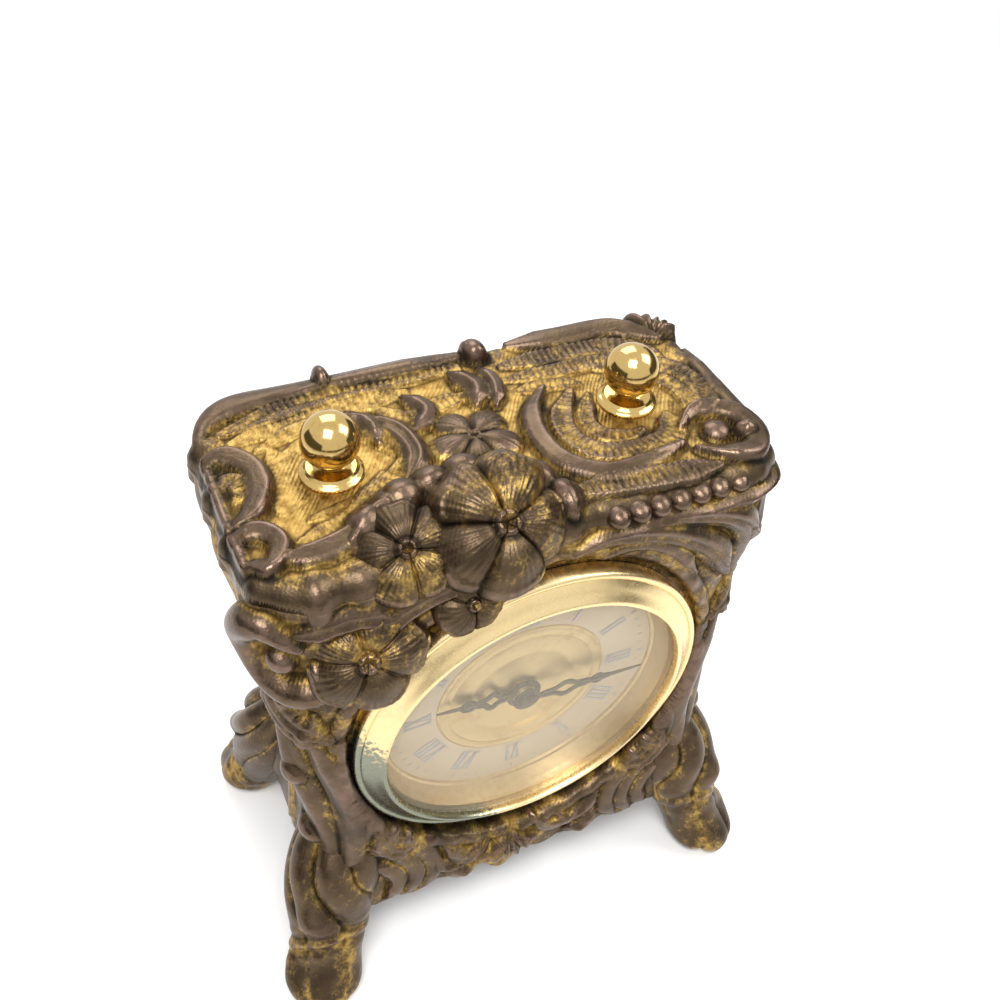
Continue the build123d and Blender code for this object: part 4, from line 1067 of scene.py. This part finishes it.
    def rear_frame(self) -> bpy.types.Object:
        """Build the wall of the opening that the cover sits in."""
        ring = rounded_outline(self.cover_w, self.cover_h, self.cover_r, 14)
        rows = [(1.5, -0.8), (1.4, 0.45), (0.15, 0.45), (0.0, 0.2), (0.0, None), (-3.4, None)]
        panel = Panel("casting_rear_frame", len(ring), len(rows) - 1)
        ring = np.vstack([ring, ring[:1]])
        ring = ring[np.linspace(0, len(ring) - 1, panel.shape[1]).round().astype(int)]
        base = np.zeros((*panel.shape, 3))
        for row in range(panel.shape[0]):
            grow, lift = rows[min(row, len(rows) - 1)]
            scale = np.array([1 + 2 * grow / self.cover_w, 1 + 2 * grow / self.cover_h])
            base[row, :, 0] = ring[:, 0] * scale[0]
            base[row, :, 2] = ring[:, 1] * scale[1] + self.dial_z
            wall = self.body.section(base[row, :, 2])[2]
            base[row, :, 1] = self.cover_y - 0.2 if lift is None else wall + lift
        zero = np.zeros(panel.shape)
        panel.lay(base, zero, zero + 0.3, 1)
        finish_mesh(panel.piece)
        return panel.piece

    def floor(self) -> bpy.types.Object:
        """Build the underside of the case."""
        panel = Panel("casting_underside", 40, 24)
        width, front, rear = (float(v) for v in self.body.section(np.array(self.underside_z)))
        x = (panel.u * 2 - 1) * (width - 2.0)
        y = (front + rear) / 2 + (1 - panel.v * 2) * ((rear - front) / 2 - 0.6)
        base = np.stack([x, y, np.full_like(x, self.underside_z)], axis=-1)
        height = 0.15 * np.sin(x * 0.7) * np.sin(y * 0.9)
        panel.lay(base, height, np.full_like(x, 0.1))
        return shade_smooth(panel.piece)

    def blossoms(self) -> list[bpy.types.Object]:
        """Build the flowers that stand out of the crest and the front."""
        return [
            self.blossom("flower_crest", (-6.5, -16.2, 93.2), (0.02, -0.66, 0.75), 10.4, 5, 0.25),
            self.blossom("flower_crest_left", (-20.0, -14.6, 91.4), (-0.12, -0.55, 0.83), 7.6, 5, 0.9),
            self.blossom("flower_front_left", (-27.5, -20.2, 78.0), (-0.18, -0.86, 0.47), 8.8, 5, 0.1),
            self.blossom("flower_bud", (-12.0, -19.6, 82.6), (0.0, -0.88, 0.47), 5.4, 3, 0.5),
        ]

    def blossom(
        self, name: str, at: tuple[float, float, float], facing: tuple[float, float, float],
        radius: float, petals: int, turn: float,
    ) -> bpy.types.Object:
        """Build one flower: cupped petals with fine ribs round a ringed eye.

        Args:
            name: Name of the piece.
            at: Place of its eye in millimetres.
            facing: Direction that it faces.
            radius: Radius over the petals.
            petals: Number of petals.
            turn: Turn of the first petal in radians.

        Returns:
            The flower.
        """
        panel = Panel(name, 220, 56)
        angle = panel.u * 2 * math.pi
        phase = (angle + turn) * petals / 2
        lobe = np.abs(np.cos(phase))
        ruffle = 0.016 * np.sin(angle * petals * 2 + 1.3) + 0.012 * np.sin(angle * 11)
        rim = radius * (0.85 + 0.15 * lobe ** 0.4 + ruffle) * (1 + 0.05 * np.sin(angle * 2 + turn))
        e = np.clip(panel.v / 0.93, 0, 1)
        skirt = np.clip((panel.v - 0.93) / 0.07, 0, 1)
        r = rim * e
        cup = 0.20 * radius * np.sin(math.pi * np.clip(e * 0.9, 0, 1)) ** 0.8 * (0.45 + 0.55 * lobe ** 0.35)
        droop = -0.34 * radius * e ** 2.4 - 0.05 * radius * (1 - lobe) ** 4 * e
        fold = 0.022 * radius * np.cos(phase * 2 + 1.0 * np.sin(phase * 2)) * e
        ribs = 0.006 * radius * np.cos(angle * petals * 9 + 2.0 * e) * np.clip(e * 2 - 0.4, 0, 1) + fold
        eye = 0.16 * radius * np.sqrt(np.clip(1 - (r / (0.19 * radius)) ** 2, 0, 1))
        eye -= 0.07 * radius * np.sqrt(np.clip(1 - (r / (0.11 * radius)) ** 2, 0, 1))
        lip = 0.055 * radius * np.exp(-((e - 0.93) / 0.05) ** 2) * (0.6 + 0.4 * np.sin(angle * petals + 0.8))
        lift = cup + droop + ribs + eye + lip - skirt * 0.45 * radius
        out = Vector(facing).normalized()
        across = (Vector((1, 0, 0)) - out * out.x).normalized()
        up = out.cross(across)
        frame_axes = np.array([across, up, out])
        local = np.stack([r * np.cos(angle), r * np.sin(angle), lift], axis=-1)
        base = local @ frame_axes + np.array(at)
        part = r / radius
        # hollow places painted shade between the petals and round the eye; crest places the painted pinkish highlight
        # on the petal rims and the eye
        hollow = 0.8 * (1 - lobe) ** 3.0 * np.clip(e * 1.4, 0, 1) + 0.7 * np.exp(-((part - 0.23) / 0.05) ** 2)
        crest = np.exp(-((e - 0.95) / 0.04) ** 2) * 0.8 + 0.7 * np.exp(-((part - 0.15) / 0.04) ** 2)
        gilt = 0.30 + 0.03 * np.cos(angle * petals * 9) + 0.14 * np.sin(angle + turn * 3)
        gilt = gilt + 0.15 * (r < 0.1 * radius)
        hollow, crest, gilt = (np.clip(v, 0, 1) for v in (hollow, crest, gilt))
        panel.piece.data.vertices.foreach_set("co", (base * MM).ravel())
        store_wear(panel.piece, gilt.ravel(), hollow.ravel(), crest.ravel())
        finish_mesh(panel.piece, 0.002, 80)
        return panel.piece

    def beads(self) -> bpy.types.Object:
        """Build the row of beads on the right of the front edge."""
        select_none()
        made = []
        for index in range(7):
            place = Vector((11.5 + 3.5 * index, -16.3 + 0.12 * index, 88.5 - 0.05 * index)) * MM
            bpy.ops.mesh.primitive_uv_sphere_add(segments=28, ring_count=16, radius=1.95 * MM, location=place)
            bead = bpy.context.object
            bead.scale = (1.0, 1.25, 0.82)
            made.append(bead)
        select_none()
        for bead in made:
            bead.select_set(True)
        bpy.context.view_layer.objects.active = made[0]
        bpy.ops.object.join()
        bpy.ops.object.transform_apply(location=True, rotation=True, scale=True)
        piece = active_named("bead_row")
        count = len(piece.data.vertices)
        # crest 0.8 gives every bead the painted pinkish highlight of the ridges and less gold
        store_wear(piece, np.full(count, 0.15), np.zeros(count), np.full(count, 0.8))
        return shade_smooth(piece)

    def leg(self, name: str, levels: Sequence[Level], side: Side, toward: int) -> bpy.types.Object:
        """Build one scroll leg with ribs that run into its toe.

        Args:
            name: Name of the piece.
            levels: Height, centre and half sizes at each level.
            side: Left or right.
            toward: -1 for a front leg, 1 for a rear leg.

        Returns:
            The leg.
        """
        panel = Panel(name, 144, 130)
        table = np.array(levels)[::-1]
        z = panel.v * table[-1, 0]
        cx, cy, hw, hd = (smooth_interp(z, table[:, 0], table[:, i]) for i in (1, 2, 3, 4))
        angle = panel.u * 2 * math.pi
        turn = np.angle(np.exp(1j * (angle - math.atan2(toward, side.value))))
        swell = 0.86 + 0.14 * np.clip(z / 2.4, 0, 1) ** 0.5
        base = np.stack([side.value * cx + hw * swell * np.cos(angle), cy + hd * swell * np.sin(angle), z], axis=-1)
        face = np.exp(-(turn / 1.9) ** 2)
        hand = side.value * toward
        upper = np.clip((z - 6.0 - 4.0 * np.cos(turn)) / 8.0, 0, 1)
        bend = 3.1 * turn * hand + 0.17 * (z - 16) + 0.5 * np.sin(z * 0.32)
        twist = np.abs(np.cos(bend)) ** 0.7 - 0.35
        strands = 1.7 * twist * (0.25 + 0.75 * upper) * face * np.clip((33.0 - z) / 6, 0, 1)
        knob = 1.6 * np.exp(-(turn / 0.45) ** 2) * np.exp(-((z - 16.0) / 2.6) ** 2)
        arch = z - 8.6 - 4.4 * np.cos(turn - 0.9 * hand)
        rings = 0.3 * np.cos(arch * 2.2) * np.exp(-(arch / 2.4) ** 2) * face
        cleft = np.abs(np.cos(1.7 * turn + 0.4)) ** 0.4
        toes = 1.5 * (cleft - 0.5) * face * np.exp(-((z - 1.2) / 2.6) ** 2)
        paw = 0.8 * np.exp(-((np.abs(turn) - 0.85) / 0.3) ** 2) * np.exp(-((z - 5.0) / 3.6) ** 2)
        height = (strands + knob + rings + toes + paw) * np.clip(z / 1.0, 0, 1)
        tip = np.exp(-((z - 1.0) / 2.0) ** 2) * (0.35 + 0.65 * (cleft < 0.75))
        edges = np.exp(-((np.abs(turn) - 1.0) / 0.35) ** 2) * np.clip((12.0 - z) / 4, 0, 1)
        grooves = (1 - np.abs(np.cos(bend))) ** 2 * upper
        gilt = 0.18 + 0.6 * tip + 0.35 * np.exp(-(arch / 1.6) ** 2) * face + 0.30 * edges + 0.35 * grooves - 0.1 * knob
        panel.lay(base, height, np.clip(gilt, 0, 1), 3)
        self.close_ends(panel)
        return panel.piece

    def close_ends(self, panel: Panel) -> None:
        """Merge the seam and fill the ends of a tube."""
        activate(panel.piece)
        bpy.ops.object.mode_set(mode="EDIT")
        bpy.ops.mesh.select_mode(type="VERT")
        bpy.ops.mesh.select_all(action="SELECT")
        bpy.ops.mesh.remove_doubles(threshold=0.01 * MM)
        bpy.ops.mesh.select_all(action="DESELECT")
        bpy.ops.mesh.select_non_manifold(extend=False)
        bpy.ops.mesh.edge_face_add()
        bpy.ops.object.mode_set(mode="OBJECT")
        finish_mesh(panel.piece, 0.002, 50)


def rounded_inside(width: float, height: float, radius: float) -> Callable[[np.ndarray, np.ndarray], np.ndarray]:
    """Return a test for points inside a rounded rectangle about the origin."""

    def test(x: np.ndarray, z: np.ndarray) -> np.ndarray:
        """Return whether points are inside."""
        dx = np.maximum(np.abs(x) - (width / 2 - radius), 0)
        dz = np.maximum(np.abs(z) - (height / 2 - radius), 0)
        return np.hypot(dx, dz) < radius

    return test


def rounded_outline(width: float, height: float, radius: float, steps: int) -> np.ndarray:
    """Return the points of a rounded rectangle about the origin."""
    rows = []
    run_x, run_z = width / 2 - radius, height / 2 - radius
    for quarter, (sx, sz) in enumerate(((1, 1), (-1, 1), (-1, -1), (1, -1))):
        for k in range(steps + 1):
            a = math.pi / 2 * (quarter + k / steps)
            rows.append((sx * run_x + radius * math.cos(a), sz * run_z + radius * math.sin(a)))
    return np.array(rows)


@dataclass
class Front:
    """Bezel, glass, inner ring, dial and numerals on the dial axis."""

    bright: bpy.types.Material
    gilt: bpy.types.Material
    cream: bpy.types.Material
    ink: bpy.types.Material
    glass: bpy.types.Material
    dial_z: float = DIAL_Z
    ink_y: float = -15.56

    @property
    def centre(self) -> Vector:
        """Point of the dial axis at depth zero."""
        return Vector((0, 0, self.dial_z * MM))

    def turned(
        self, name: str, profile: Sequence[Point], steps: int, slot: Slot, material: bpy.types.Material, node: str
    ) -> None:
        """Turn one piece about the dial axis and put it on the case.

        Args:
            name: Name of the piece.
            profile: Radius and depth in millimetres.
            steps: Steps round the axis.
            slot: Material slot of the record.
            material: Finish of the piece.
            node: CAD node that it stands for.
        """
        settle(lathe(name, profile, self.centre, Vector((0, 1, 0)), steps), "case", slot, material, node)

    def build(self) -> None:
        """Build the pieces of the front."""
        bezel = [
            (28.4, -17.0), (29.9, -17.0), (30.0, -17.2), (30.0, -19.5), (29.8, -19.85), (29.4, -20.0), (29.1, -19.95),
            (28.95, -19.8), (28.8, -20.0), (27.6, -20.75), (26.7, -21.35), (26.3, -21.8), (25.95, -22.0),
            (25.6, -21.95), (25.4, -21.7), (25.4, -20.8), (26.4, -20.8), (26.4, -11.5), (28.4, -11.5), (28.4, -17.0),
        ]
        self.turned("bezel_turned", bezel, 220, Slot.POLISHED_BRASS, self.bright, "bezel_ring")
        self.turned("glass_turned", self.dome(), 96, Slot.CLEAR_GLASS, self.glass, "glass_dome")
        ring = [
            (26.3, -19.6), (26.3, -15.4), (23.8, -15.4), (23.9, -15.9), (24.3, -16.1), (24.9, -19.2), (25.0, -19.6),
            (26.3, -19.6),
        ]
        self.turned("inner_ring_turned", ring, 180, Slot.DIAL_GILT, self.gilt, "dial_ring")
        dial = [
            (2.4, -15.4), (14.0, -15.42), (20.0, -15.5), (23.4, -15.42), (26.3, -15.4), (26.3, -14.9), (2.4, -14.9),
            (2.4, -15.4),
        ]
        self.turned("dial_turned", dial, 150, Slot.DIAL_CREAM, self.cream, "dial_plate")
        middle = [
            (2.4, -15.4), (2.4, -15.72), (3.6, -15.8), (4.2, -15.66), (8.8, -15.62), (9.3, -15.78), (9.8, -15.62),
            (12.6, -15.6), (12.9, -15.74), (13.3, -15.6), (14.0, -15.62), (14.4, -15.76), (14.8, -15.6),
            (14.9, -15.4), (2.4, -15.4),
        ]
        self.turned("dial_middle_turned", middle, 150, Slot.DIAL_GILT, self.gilt, "dial_centre")
        settle(self.numerals(), "case", Slot.HAND_DARK, self.ink)

    @staticmethod
    def dome(rise: float = 3.6, edge_r: float = 25.35, rim: float = -20.8, thick: float = 1.1) -> list[Point]:
        """Return the profile of the domed glass."""
        ball = (edge_r ** 2 + rise ** 2) / (2 * rise)
        radii = [edge_r * k / 14 for k in range(15)]
        outer = [(r, rim - rise + ball - math.sqrt(ball ** 2 - r ** 2)) for r in radii]
        return outer + [(r, t + thick) for r, t in reversed(outer)]

    def numerals(self) -> bpy.types.Object:
        """Build the hour numerals and minute marks as thin raised bars."""
        bars: list[np.ndarray] = []
        foot, head, serif = 15.9, 20.3, 0.16
        widths = {"I": 0.95, "V": 2.0, "X": 2.1}
        signs = ["XII", "I", "II", "III", "IIII", "V", "VI", "VII", "VIII", "IX", "X", "XI"]
        for hour, sign in enumerate(signs):
            clock = math.radians(90 - 30 * hour)
            start = -sum(widths[c] for c in sign) / 2
            for letter in sign:
                middle = start + widths[letter] / 2
                start += widths[letter]
                for low, high, thick in self.letter_bars(letter):
                    bars.append(self.bar(clock, (middle + low, foot), (middle + high, head), thick))
                for place in (foot, head):
                    half = widths[letter] * 0.45
                    bars.append(self.bar(clock, (middle - half, place), (middle + half, place), serif))
        for minute in range(60):
            clock = math.radians(90 - 6 * minute)
            long, thick = (22.4, 0.16) if minute % 5 else (22.7, 0.34)
            bars.append(self.bar(clock, (0, 21.7), (0, long), thick))
        select_none()
        bpy.ops.mesh.primitive_plane_add(size=MM)
        piece = active_named("dial_numerals")
        piece.data.clear_geometry()
        faces = [(4 * i, 4 * i + 1, 4 * i + 2, 4 * i + 3) for i in range(len(bars))]
        piece.data.from_pydata((np.vstack(bars) * MM).tolist(), [], faces)
        activate(piece)
        thick = piece.modifiers.new("thick", "SOLIDIFY")
        thick.thickness = 0.05 * MM
        thick.offset = 1.0
        bpy.ops.object.modifier_apply(modifier="thick")
        return piece

    @staticmethod
    def letter_bars(letter: str) -> list[tuple[float, float, float]]:
        """Return the strokes of a letter as offsets at foot and head, and thickness."""
        return {
            "I": [(0.0, 0.0, 0.46)],
            "V": [(0.0, -0.62, 0.46), (0.0, 0.62, 0.2)],
            "X": [(0.62, -0.62, 0.46), (-0.62, 0.62, 0.2)],
        }[letter]

    def bar(self, clock: float, foot: Point, head: Point, thick: float) -> np.ndarray:
        """Return the corners of one bar that stands on the dial towards a clock angle."""
        out = np.array([math.cos(clock), math.sin(clock)])
        across = np.array([math.sin(clock), -math.cos(clock)])
        a = across * foot[0] + out * foot[1]
        b = across * head[0] + out * head[1]
        along = (b - a) / (np.linalg.norm(b - a) + 1e-9)
        wide = np.array([-along[1], along[0]]) * thick / 2
        rows = [a - wide, b - wide, b + wide, a + wide]
        return np.array([(p[0], self.ink_y, self.dial_z + p[1]) for p in rows])


@dataclass
class Hands:
    """The two pierced hands and the nut that holds them."""

    dark: bpy.types.Material
    dial_z: float = DIAL_Z
    thick: float = 0.3

    def build(self) -> None:
        """Build the hands and their nut."""
        hour = self.hand("hour_hand_pierced", -16.4, 277.75, 3.0, 2.0, 15.5, 1.0)
        settle(hour, "hour_body", Slot.HAND_DARK, self.dark, "hour_hand")
        minute = self.hand("minute_hand_pierced", -17.6, 93.0, 2.4, 1.3, 21.5, 0.86)
        settle(minute, "minute_body", Slot.HAND_DARK, self.dark, "minute_hand")
        profile = [
            (0.0, -18.6), (0.5, -18.58), (1.0, -18.46), (1.3, -18.25), (1.5, -17.95), (1.5, -17.9), (0.0, -17.9),
        ]
        nut = lathe("hand_nut_turned", profile, Vector((0, 0, self.dial_z * MM)), Vector((0, 1, 0)), 48)
        settle(nut, "minute_body", Slot.POLISHED_BRASS, self.dark, "hand_nut")

    def hand(
        self, name: str, back: float, clock: float, hub: float, bore: float, length: float, width: float
    ) -> bpy.types.Object:
        """Build one hand from an outline of loops joined in the plane and given a thickness.

        Args:
            name: Name of the piece.
            back: Depth of its rear face.
            clock: Clock angle that it points to.
            hub: Radius of the hub.
            bore: Radius of the hole.
            length: Reach of the tip.
            width: Scale of the loops.

        Returns:
            The hand.
        """
        strips: list[np.ndarray] = []
        turn = np.linspace(0, 2 * math.pi, 49)
        ring = np.stack([np.cos(turn), np.sin(turn)], axis=1)
        strips.append(np.stack([ring * bore, ring * hub], axis=1))
        bulb = 0.56 * length
        for sign in (-1, 1):
            t = np.linspace(0, 1, 40)
            x = hub * 0.9 + (bulb - hub * 0.9) * t
            y = sign * width * 1.75 * np.sin(math.pi * t) ** 0.8 * (0.72 + 0.28 * np.cos(4 * math.pi * t))
            strips.append(self.ribbon(np.stack([x, y], axis=1), 0.42 * width * (0.8 + 0.5 * np.sin(math.pi * t))))
            a = np.linspace(0, 1.65 * math.pi, 36)
            curl = np.stack([bulb + 1.25 * width + 1.25 * width * np.cos(math.pi - a),
                             sign * (1.05 * width * np.sin(math.pi - a))], axis=1)
            strips.append(self.ribbon(curl, 0.36 * width * np.linspace(1, 0.5, 36)))
        t = np.linspace(0, 1, 30)
        spear = np.stack([bulb * 0.98 + (length - bulb * 0.98) * t, np.zeros(30)], axis=1)
        bulge = 1 + 0.7 * np.exp(-((t - 0.25) / 0.1) ** 2)
        strips.append(self.ribbon(spear, 0.52 * width * (1 - t) ** 0.7 * bulge + 0.05))
        select_none()
        bpy.ops.mesh.primitive_plane_add(size=MM)
        piece = active_named(name)
        piece.data.clear_geometry()
        a = math.radians(90 - clock)
        along, across = np.array([math.cos(a), math.sin(a)]), np.array([-math.sin(a), math.cos(a)])
        points, faces = [], []
        for k, strip in enumerate(strips):
            first = len(points)
            level = back - 0.003 * k
            for pair in strip:
                for p in pair:
                    q = along * p[0] + across * p[1]
                    points.append((q[0] * MM, level * MM, (self.dial_z + q[1]) * MM))
            starts = range(first, first + 2 * (len(strip) - 1), 2)
            faces += [(i, i + 1, i + 3, i + 2) for i in starts]
        piece.data.from_pydata(points, [], faces)
        finish_mesh(piece, 0.0005)
        solid = piece.modifiers.new("thick", "SOLIDIFY")
        solid.thickness = self.thick * MM * 0.9
        solid.offset = 0.0
        bpy.ops.object.modifier_apply(modifier="thick")
        shift = -0.5 * self.thick * MM
        piece.data.transform(Matrix.Translation((0, shift, 0)))
        return piece

    @staticmethod
    def ribbon(line: np.ndarray, half: np.ndarray) -> np.ndarray:
        """Return the two edges of a flat strip along a line."""
        tangent = np.gradient(line, axis=0)
        tangent /= np.linalg.norm(tangent, axis=1)[:, None] + 1e-9
        normal = np.stack([-tangent[:, 1], tangent[:, 0]], axis=1) * np.broadcast_to(half, len(line))[:, None]
        return np.stack([line - normal, line + normal], axis=1)


@dataclass
class Finials:
    """The two turned ball finials."""

    bright: bpy.types.Material
    x: float = FINIAL_X
    y: float = FINIAL_Y
    top: float = 90.5
    ball_z: float = 96.4
    ball_r: float = 4.3

    def build(self) -> None:
        """Turn both finials."""
        neck = 1.9
        profile = [
            (0.0, -6.5), (1.4, -6.5), (1.4, 0.0), (4.5, 0.0), (4.7, 0.15), (4.72, 0.4), (4.55, 0.62), (4.1, 0.72),
            (3.9, 0.9), (3.6, 1.25), (2.9, 1.36), (2.2, 1.5), (neck, 1.75), (neck, 1.95),
        ]
        low = math.asin(math.sqrt(1 - (neck / self.ball_r) ** 2))
        for k in range(29):
            a = -low + (math.pi / 2 + low) * k / 28
            profile.append((self.ball_r * math.cos(a), self.ball_z - self.top + self.ball_r * math.sin(a)))
        profile[-1] = (0.0, self.ball_z - self.top + self.ball_r)
        for side in Side:
            centre = Vector((side.value * self.x, self.y, self.top)) * MM
            piece = lathe(f"finial_{side.name.lower()}_turned", profile, centre, Vector((0, 0, 1)), 96)
            settle(piece, "case", Slot.POLISHED_BRASS, self.bright, f"finial_{side.name.lower()}")


@dataclass
class Works:
    """CAD nodes that keep their shape: cover, screws, key, knob and the movement."""

    finishes: dict[Slot, bpy.types.Material]

    def dress(self) -> None:
        """Give every CAD node the finish of its slot."""
        for entry in frame["record"]["subparts"]:
            node = frame["nodes"][entry["node"]]
            node.data.materials.clear()
            node.data.materials.append(self.finishes[Slot(entry["material_slot"])])
            log.info("%s dressed as %s", entry["node"], entry["material_slot"])


@dataclass
class Studio:
    """Floor, light and the camera at the photograph's place."""

    floor: bpy.types.Material
    shade: bpy.types.Material
    eye: tuple[float, float, float] = (-57.3, -108.4, 198.5)
    elevation: float = 43.83
    azimuth: float = 28.31
    roll: float = 5.53
    lens: float = 39.78

    def build(self) -> None:
        """Set the stage."""
        select_none()
        bpy.ops.mesh.primitive_plane_add(size=6.0, location=(0, 0, -0.00005))
        plane = active_named("floor")
        bpy.ops.object.transform_apply(location=True, rotation=True, scale=True)
        plane.data.materials.append(self.floor)
        self.sky()
        self.card("card_front", (0.0, -0.75, 0.06), (90, 0, 0), (1.6, 0.12))
        self.card("card_left", (-0.70, 0.0, 0.20), (0, 90, 0), (0.40, 1.3))
        self.card("card_right", (0.75, 0.0, 0.20), (0, 90, 0), (0.40, 1.3))
        self.lamp("key", (-0.20, -0.30, 0.80), 0.40, 5.5)
        self.lamp("fill", (0.55, -0.10, 0.60), 0.4, 2.5)
        self.lamp("back", (0.1, 0.55, 0.65), 0.5, 2.5)
        self.camera()
        bpy.context.scene.view_settings.view_transform = "Standard"

    def card(
        self, name: str, place: tuple[float, float, float], turn: tuple[float, float, float], size: Point
    ) -> None:
        """Stand a dark card out of view, for the metal to reflect.

        Args:
            name: Name of the card.
            place: Middle of the card in metres.
            turn: Rotation in degrees.
            size: Sides in metres.
        """
        bpy.ops.mesh.primitive_plane_add(size=1.0, location=place, rotation=[math.radians(t) for t in turn])
        made = active_named(name)
        made.scale = (size[0], size[1], 1)
        activate(made)
        bpy.ops.object.transform_apply(location=True, rotation=True, scale=True)
        made.data.materials.append(self.shade)
        made.visible_camera = False
        made.visible_shadow = False
        made.visible_diffuse = False

    def sky(self) -> None:
        """Make a plain world that is white to the camera, metal and glass."""
        world = bpy.data.worlds.new("plain_sky")
        bpy.context.scene.world = world
        world.use_nodes = True
        graph = Graph(world.node_tree)
        mask = graph.node("ShaderNodeLightPath", {}, {}, "Is Camera Ray")
        for kind in ("Glossy", "Transmission"):
            other = graph.node("ShaderNodeLightPath", {}, {}, f"Is {kind} Ray")
            mask = graph.node("ShaderNodeMath", {"operation": "MAXIMUM"}, {0: mask, 1: other})
        white = (1.0, 1.0, 1.0)
        soft = graph.node("ShaderNodeBackground", {}, {"Color": white, "Strength": 0.62})
        full = graph.node("ShaderNodeBackground", {}, {"Color": white, "Strength": 1.0})
        graph.end("ShaderNodeOutputWorld", graph.node("ShaderNodeMixShader", {}, {0: mask, 1: soft, 2: full}))

    def lamp(self, name: str, place: tuple[float, float, float], size: float, power: float) -> None:
        """Add a soft square lamp that faces the clock.

        Args:
            name: Name of the lamp.
            place: Place in metres.
            size: Side in metres.
            power: Power in watts.
        """
        bpy.ops.object.light_add(type="AREA", location=place)
        lamp = bpy.context.object
        lamp.name = name
        lamp.data.size = size
        lamp.data.energy = power
        aim = Vector((0, 0, 0.05)) - Vector(place)
        lamp.rotation_euler = aim.to_track_quat("-Z", "Y").to_euler()

    def camera(self) -> None:
        """Place the camera by its eye point, elevation, azimuth and roll."""
        up_angle, turn, lean = (math.radians(a) for a in (self.elevation, self.azimuth, self.roll))
        level = math.cos(up_angle)
        forward = Vector((math.sin(turn) * level, math.cos(turn) * level, -math.sin(up_angle)))
        right0 = Vector((math.cos(turn), -math.sin(turn), 0))
        up0 = right0.cross(forward)
        right = right0 * math.cos(lean) + up0 * math.sin(lean)
        up = right.cross(forward)
        axes = Matrix((right, up, -forward)).transposed()
        data = bpy.data.cameras.new("view")
        data.lens = self.lens
        data.sensor_width = 36.0
        data.clip_start = 0.005
        camera = bpy.data.objects.new("view", data)
        bpy.context.scene.collection.objects.link(camera)
        camera.matrix_world = Matrix.Translation(Vector(self.eye) * MM) @ axes.to_4x4()
        bpy.context.scene.camera = camera


def main() -> None:
    """Build and dress the clock in order and set the stage."""
    logging.basicConfig(level=logging.INFO, format="%(message)s")
    bright = Brass("polished_brass", (0.64, 0.445, 0.165), (0.36, 0.22, 0.07), rough=0.12, wear=0.30).make()
    # the bezel's grey-green low on the left is a painted dark reflection
    satin = Brass(
        "satin_bezel", (0.87, 0.67, 0.35), (0.56, 0.43, 0.21), rough=0.27, wear=0.16, dark_reflection=(0.24, 0.25, 0.19)
    ).make()
    plate = Brass("plate_brass", (0.74, 0.58, 0.28), (0.46, 0.33, 0.13), rough=0.28, wear=0.5).make()
    gilt = Brass("gilt_sheet", (0.62, 0.47, 0.23), (0.46, 0.33, 0.14), rough=0.36, wear=0.5).make()
    steel = Steel("train_steel").make()
    dark = Steel("blackened_steel", (0.035, 0.032, 0.030), rough=0.35, metal=0.6).make()
    cream = DialPaint("dial_cream", (0.63, 0.53, 0.38), (0.58, 0.47, 0.32)).make()
    ink = DialPaint("numeral_ink", (0.40, 0.41, 0.46), (0.50, 0.505, 0.55), rough=0.4).make()
    glass = WindowGlass().make()
    gilding = WornGilding().make()
    Works({
        Slot.CAST_GILT: gilding, Slot.POLISHED_BRASS: bright, Slot.PLATE_BRASS: plate, Slot.TRAIN_STEEL: steel,
        Slot.DIAL_CREAM: cream, Slot.DIAL_GILT: gilt, Slot.CLEAR_GLASS: glass, Slot.HAND_DARK: dark,
    }).dress()
    Casting(gilding).build()
    Front(satin, gilt, cream, ink, glass).build()
    Hands(dark).build()
    Finials(bright).build()
    Studio(PaleFloor().make(), DarkCard().make()).build()


if __name__ == "__main__":
    main()
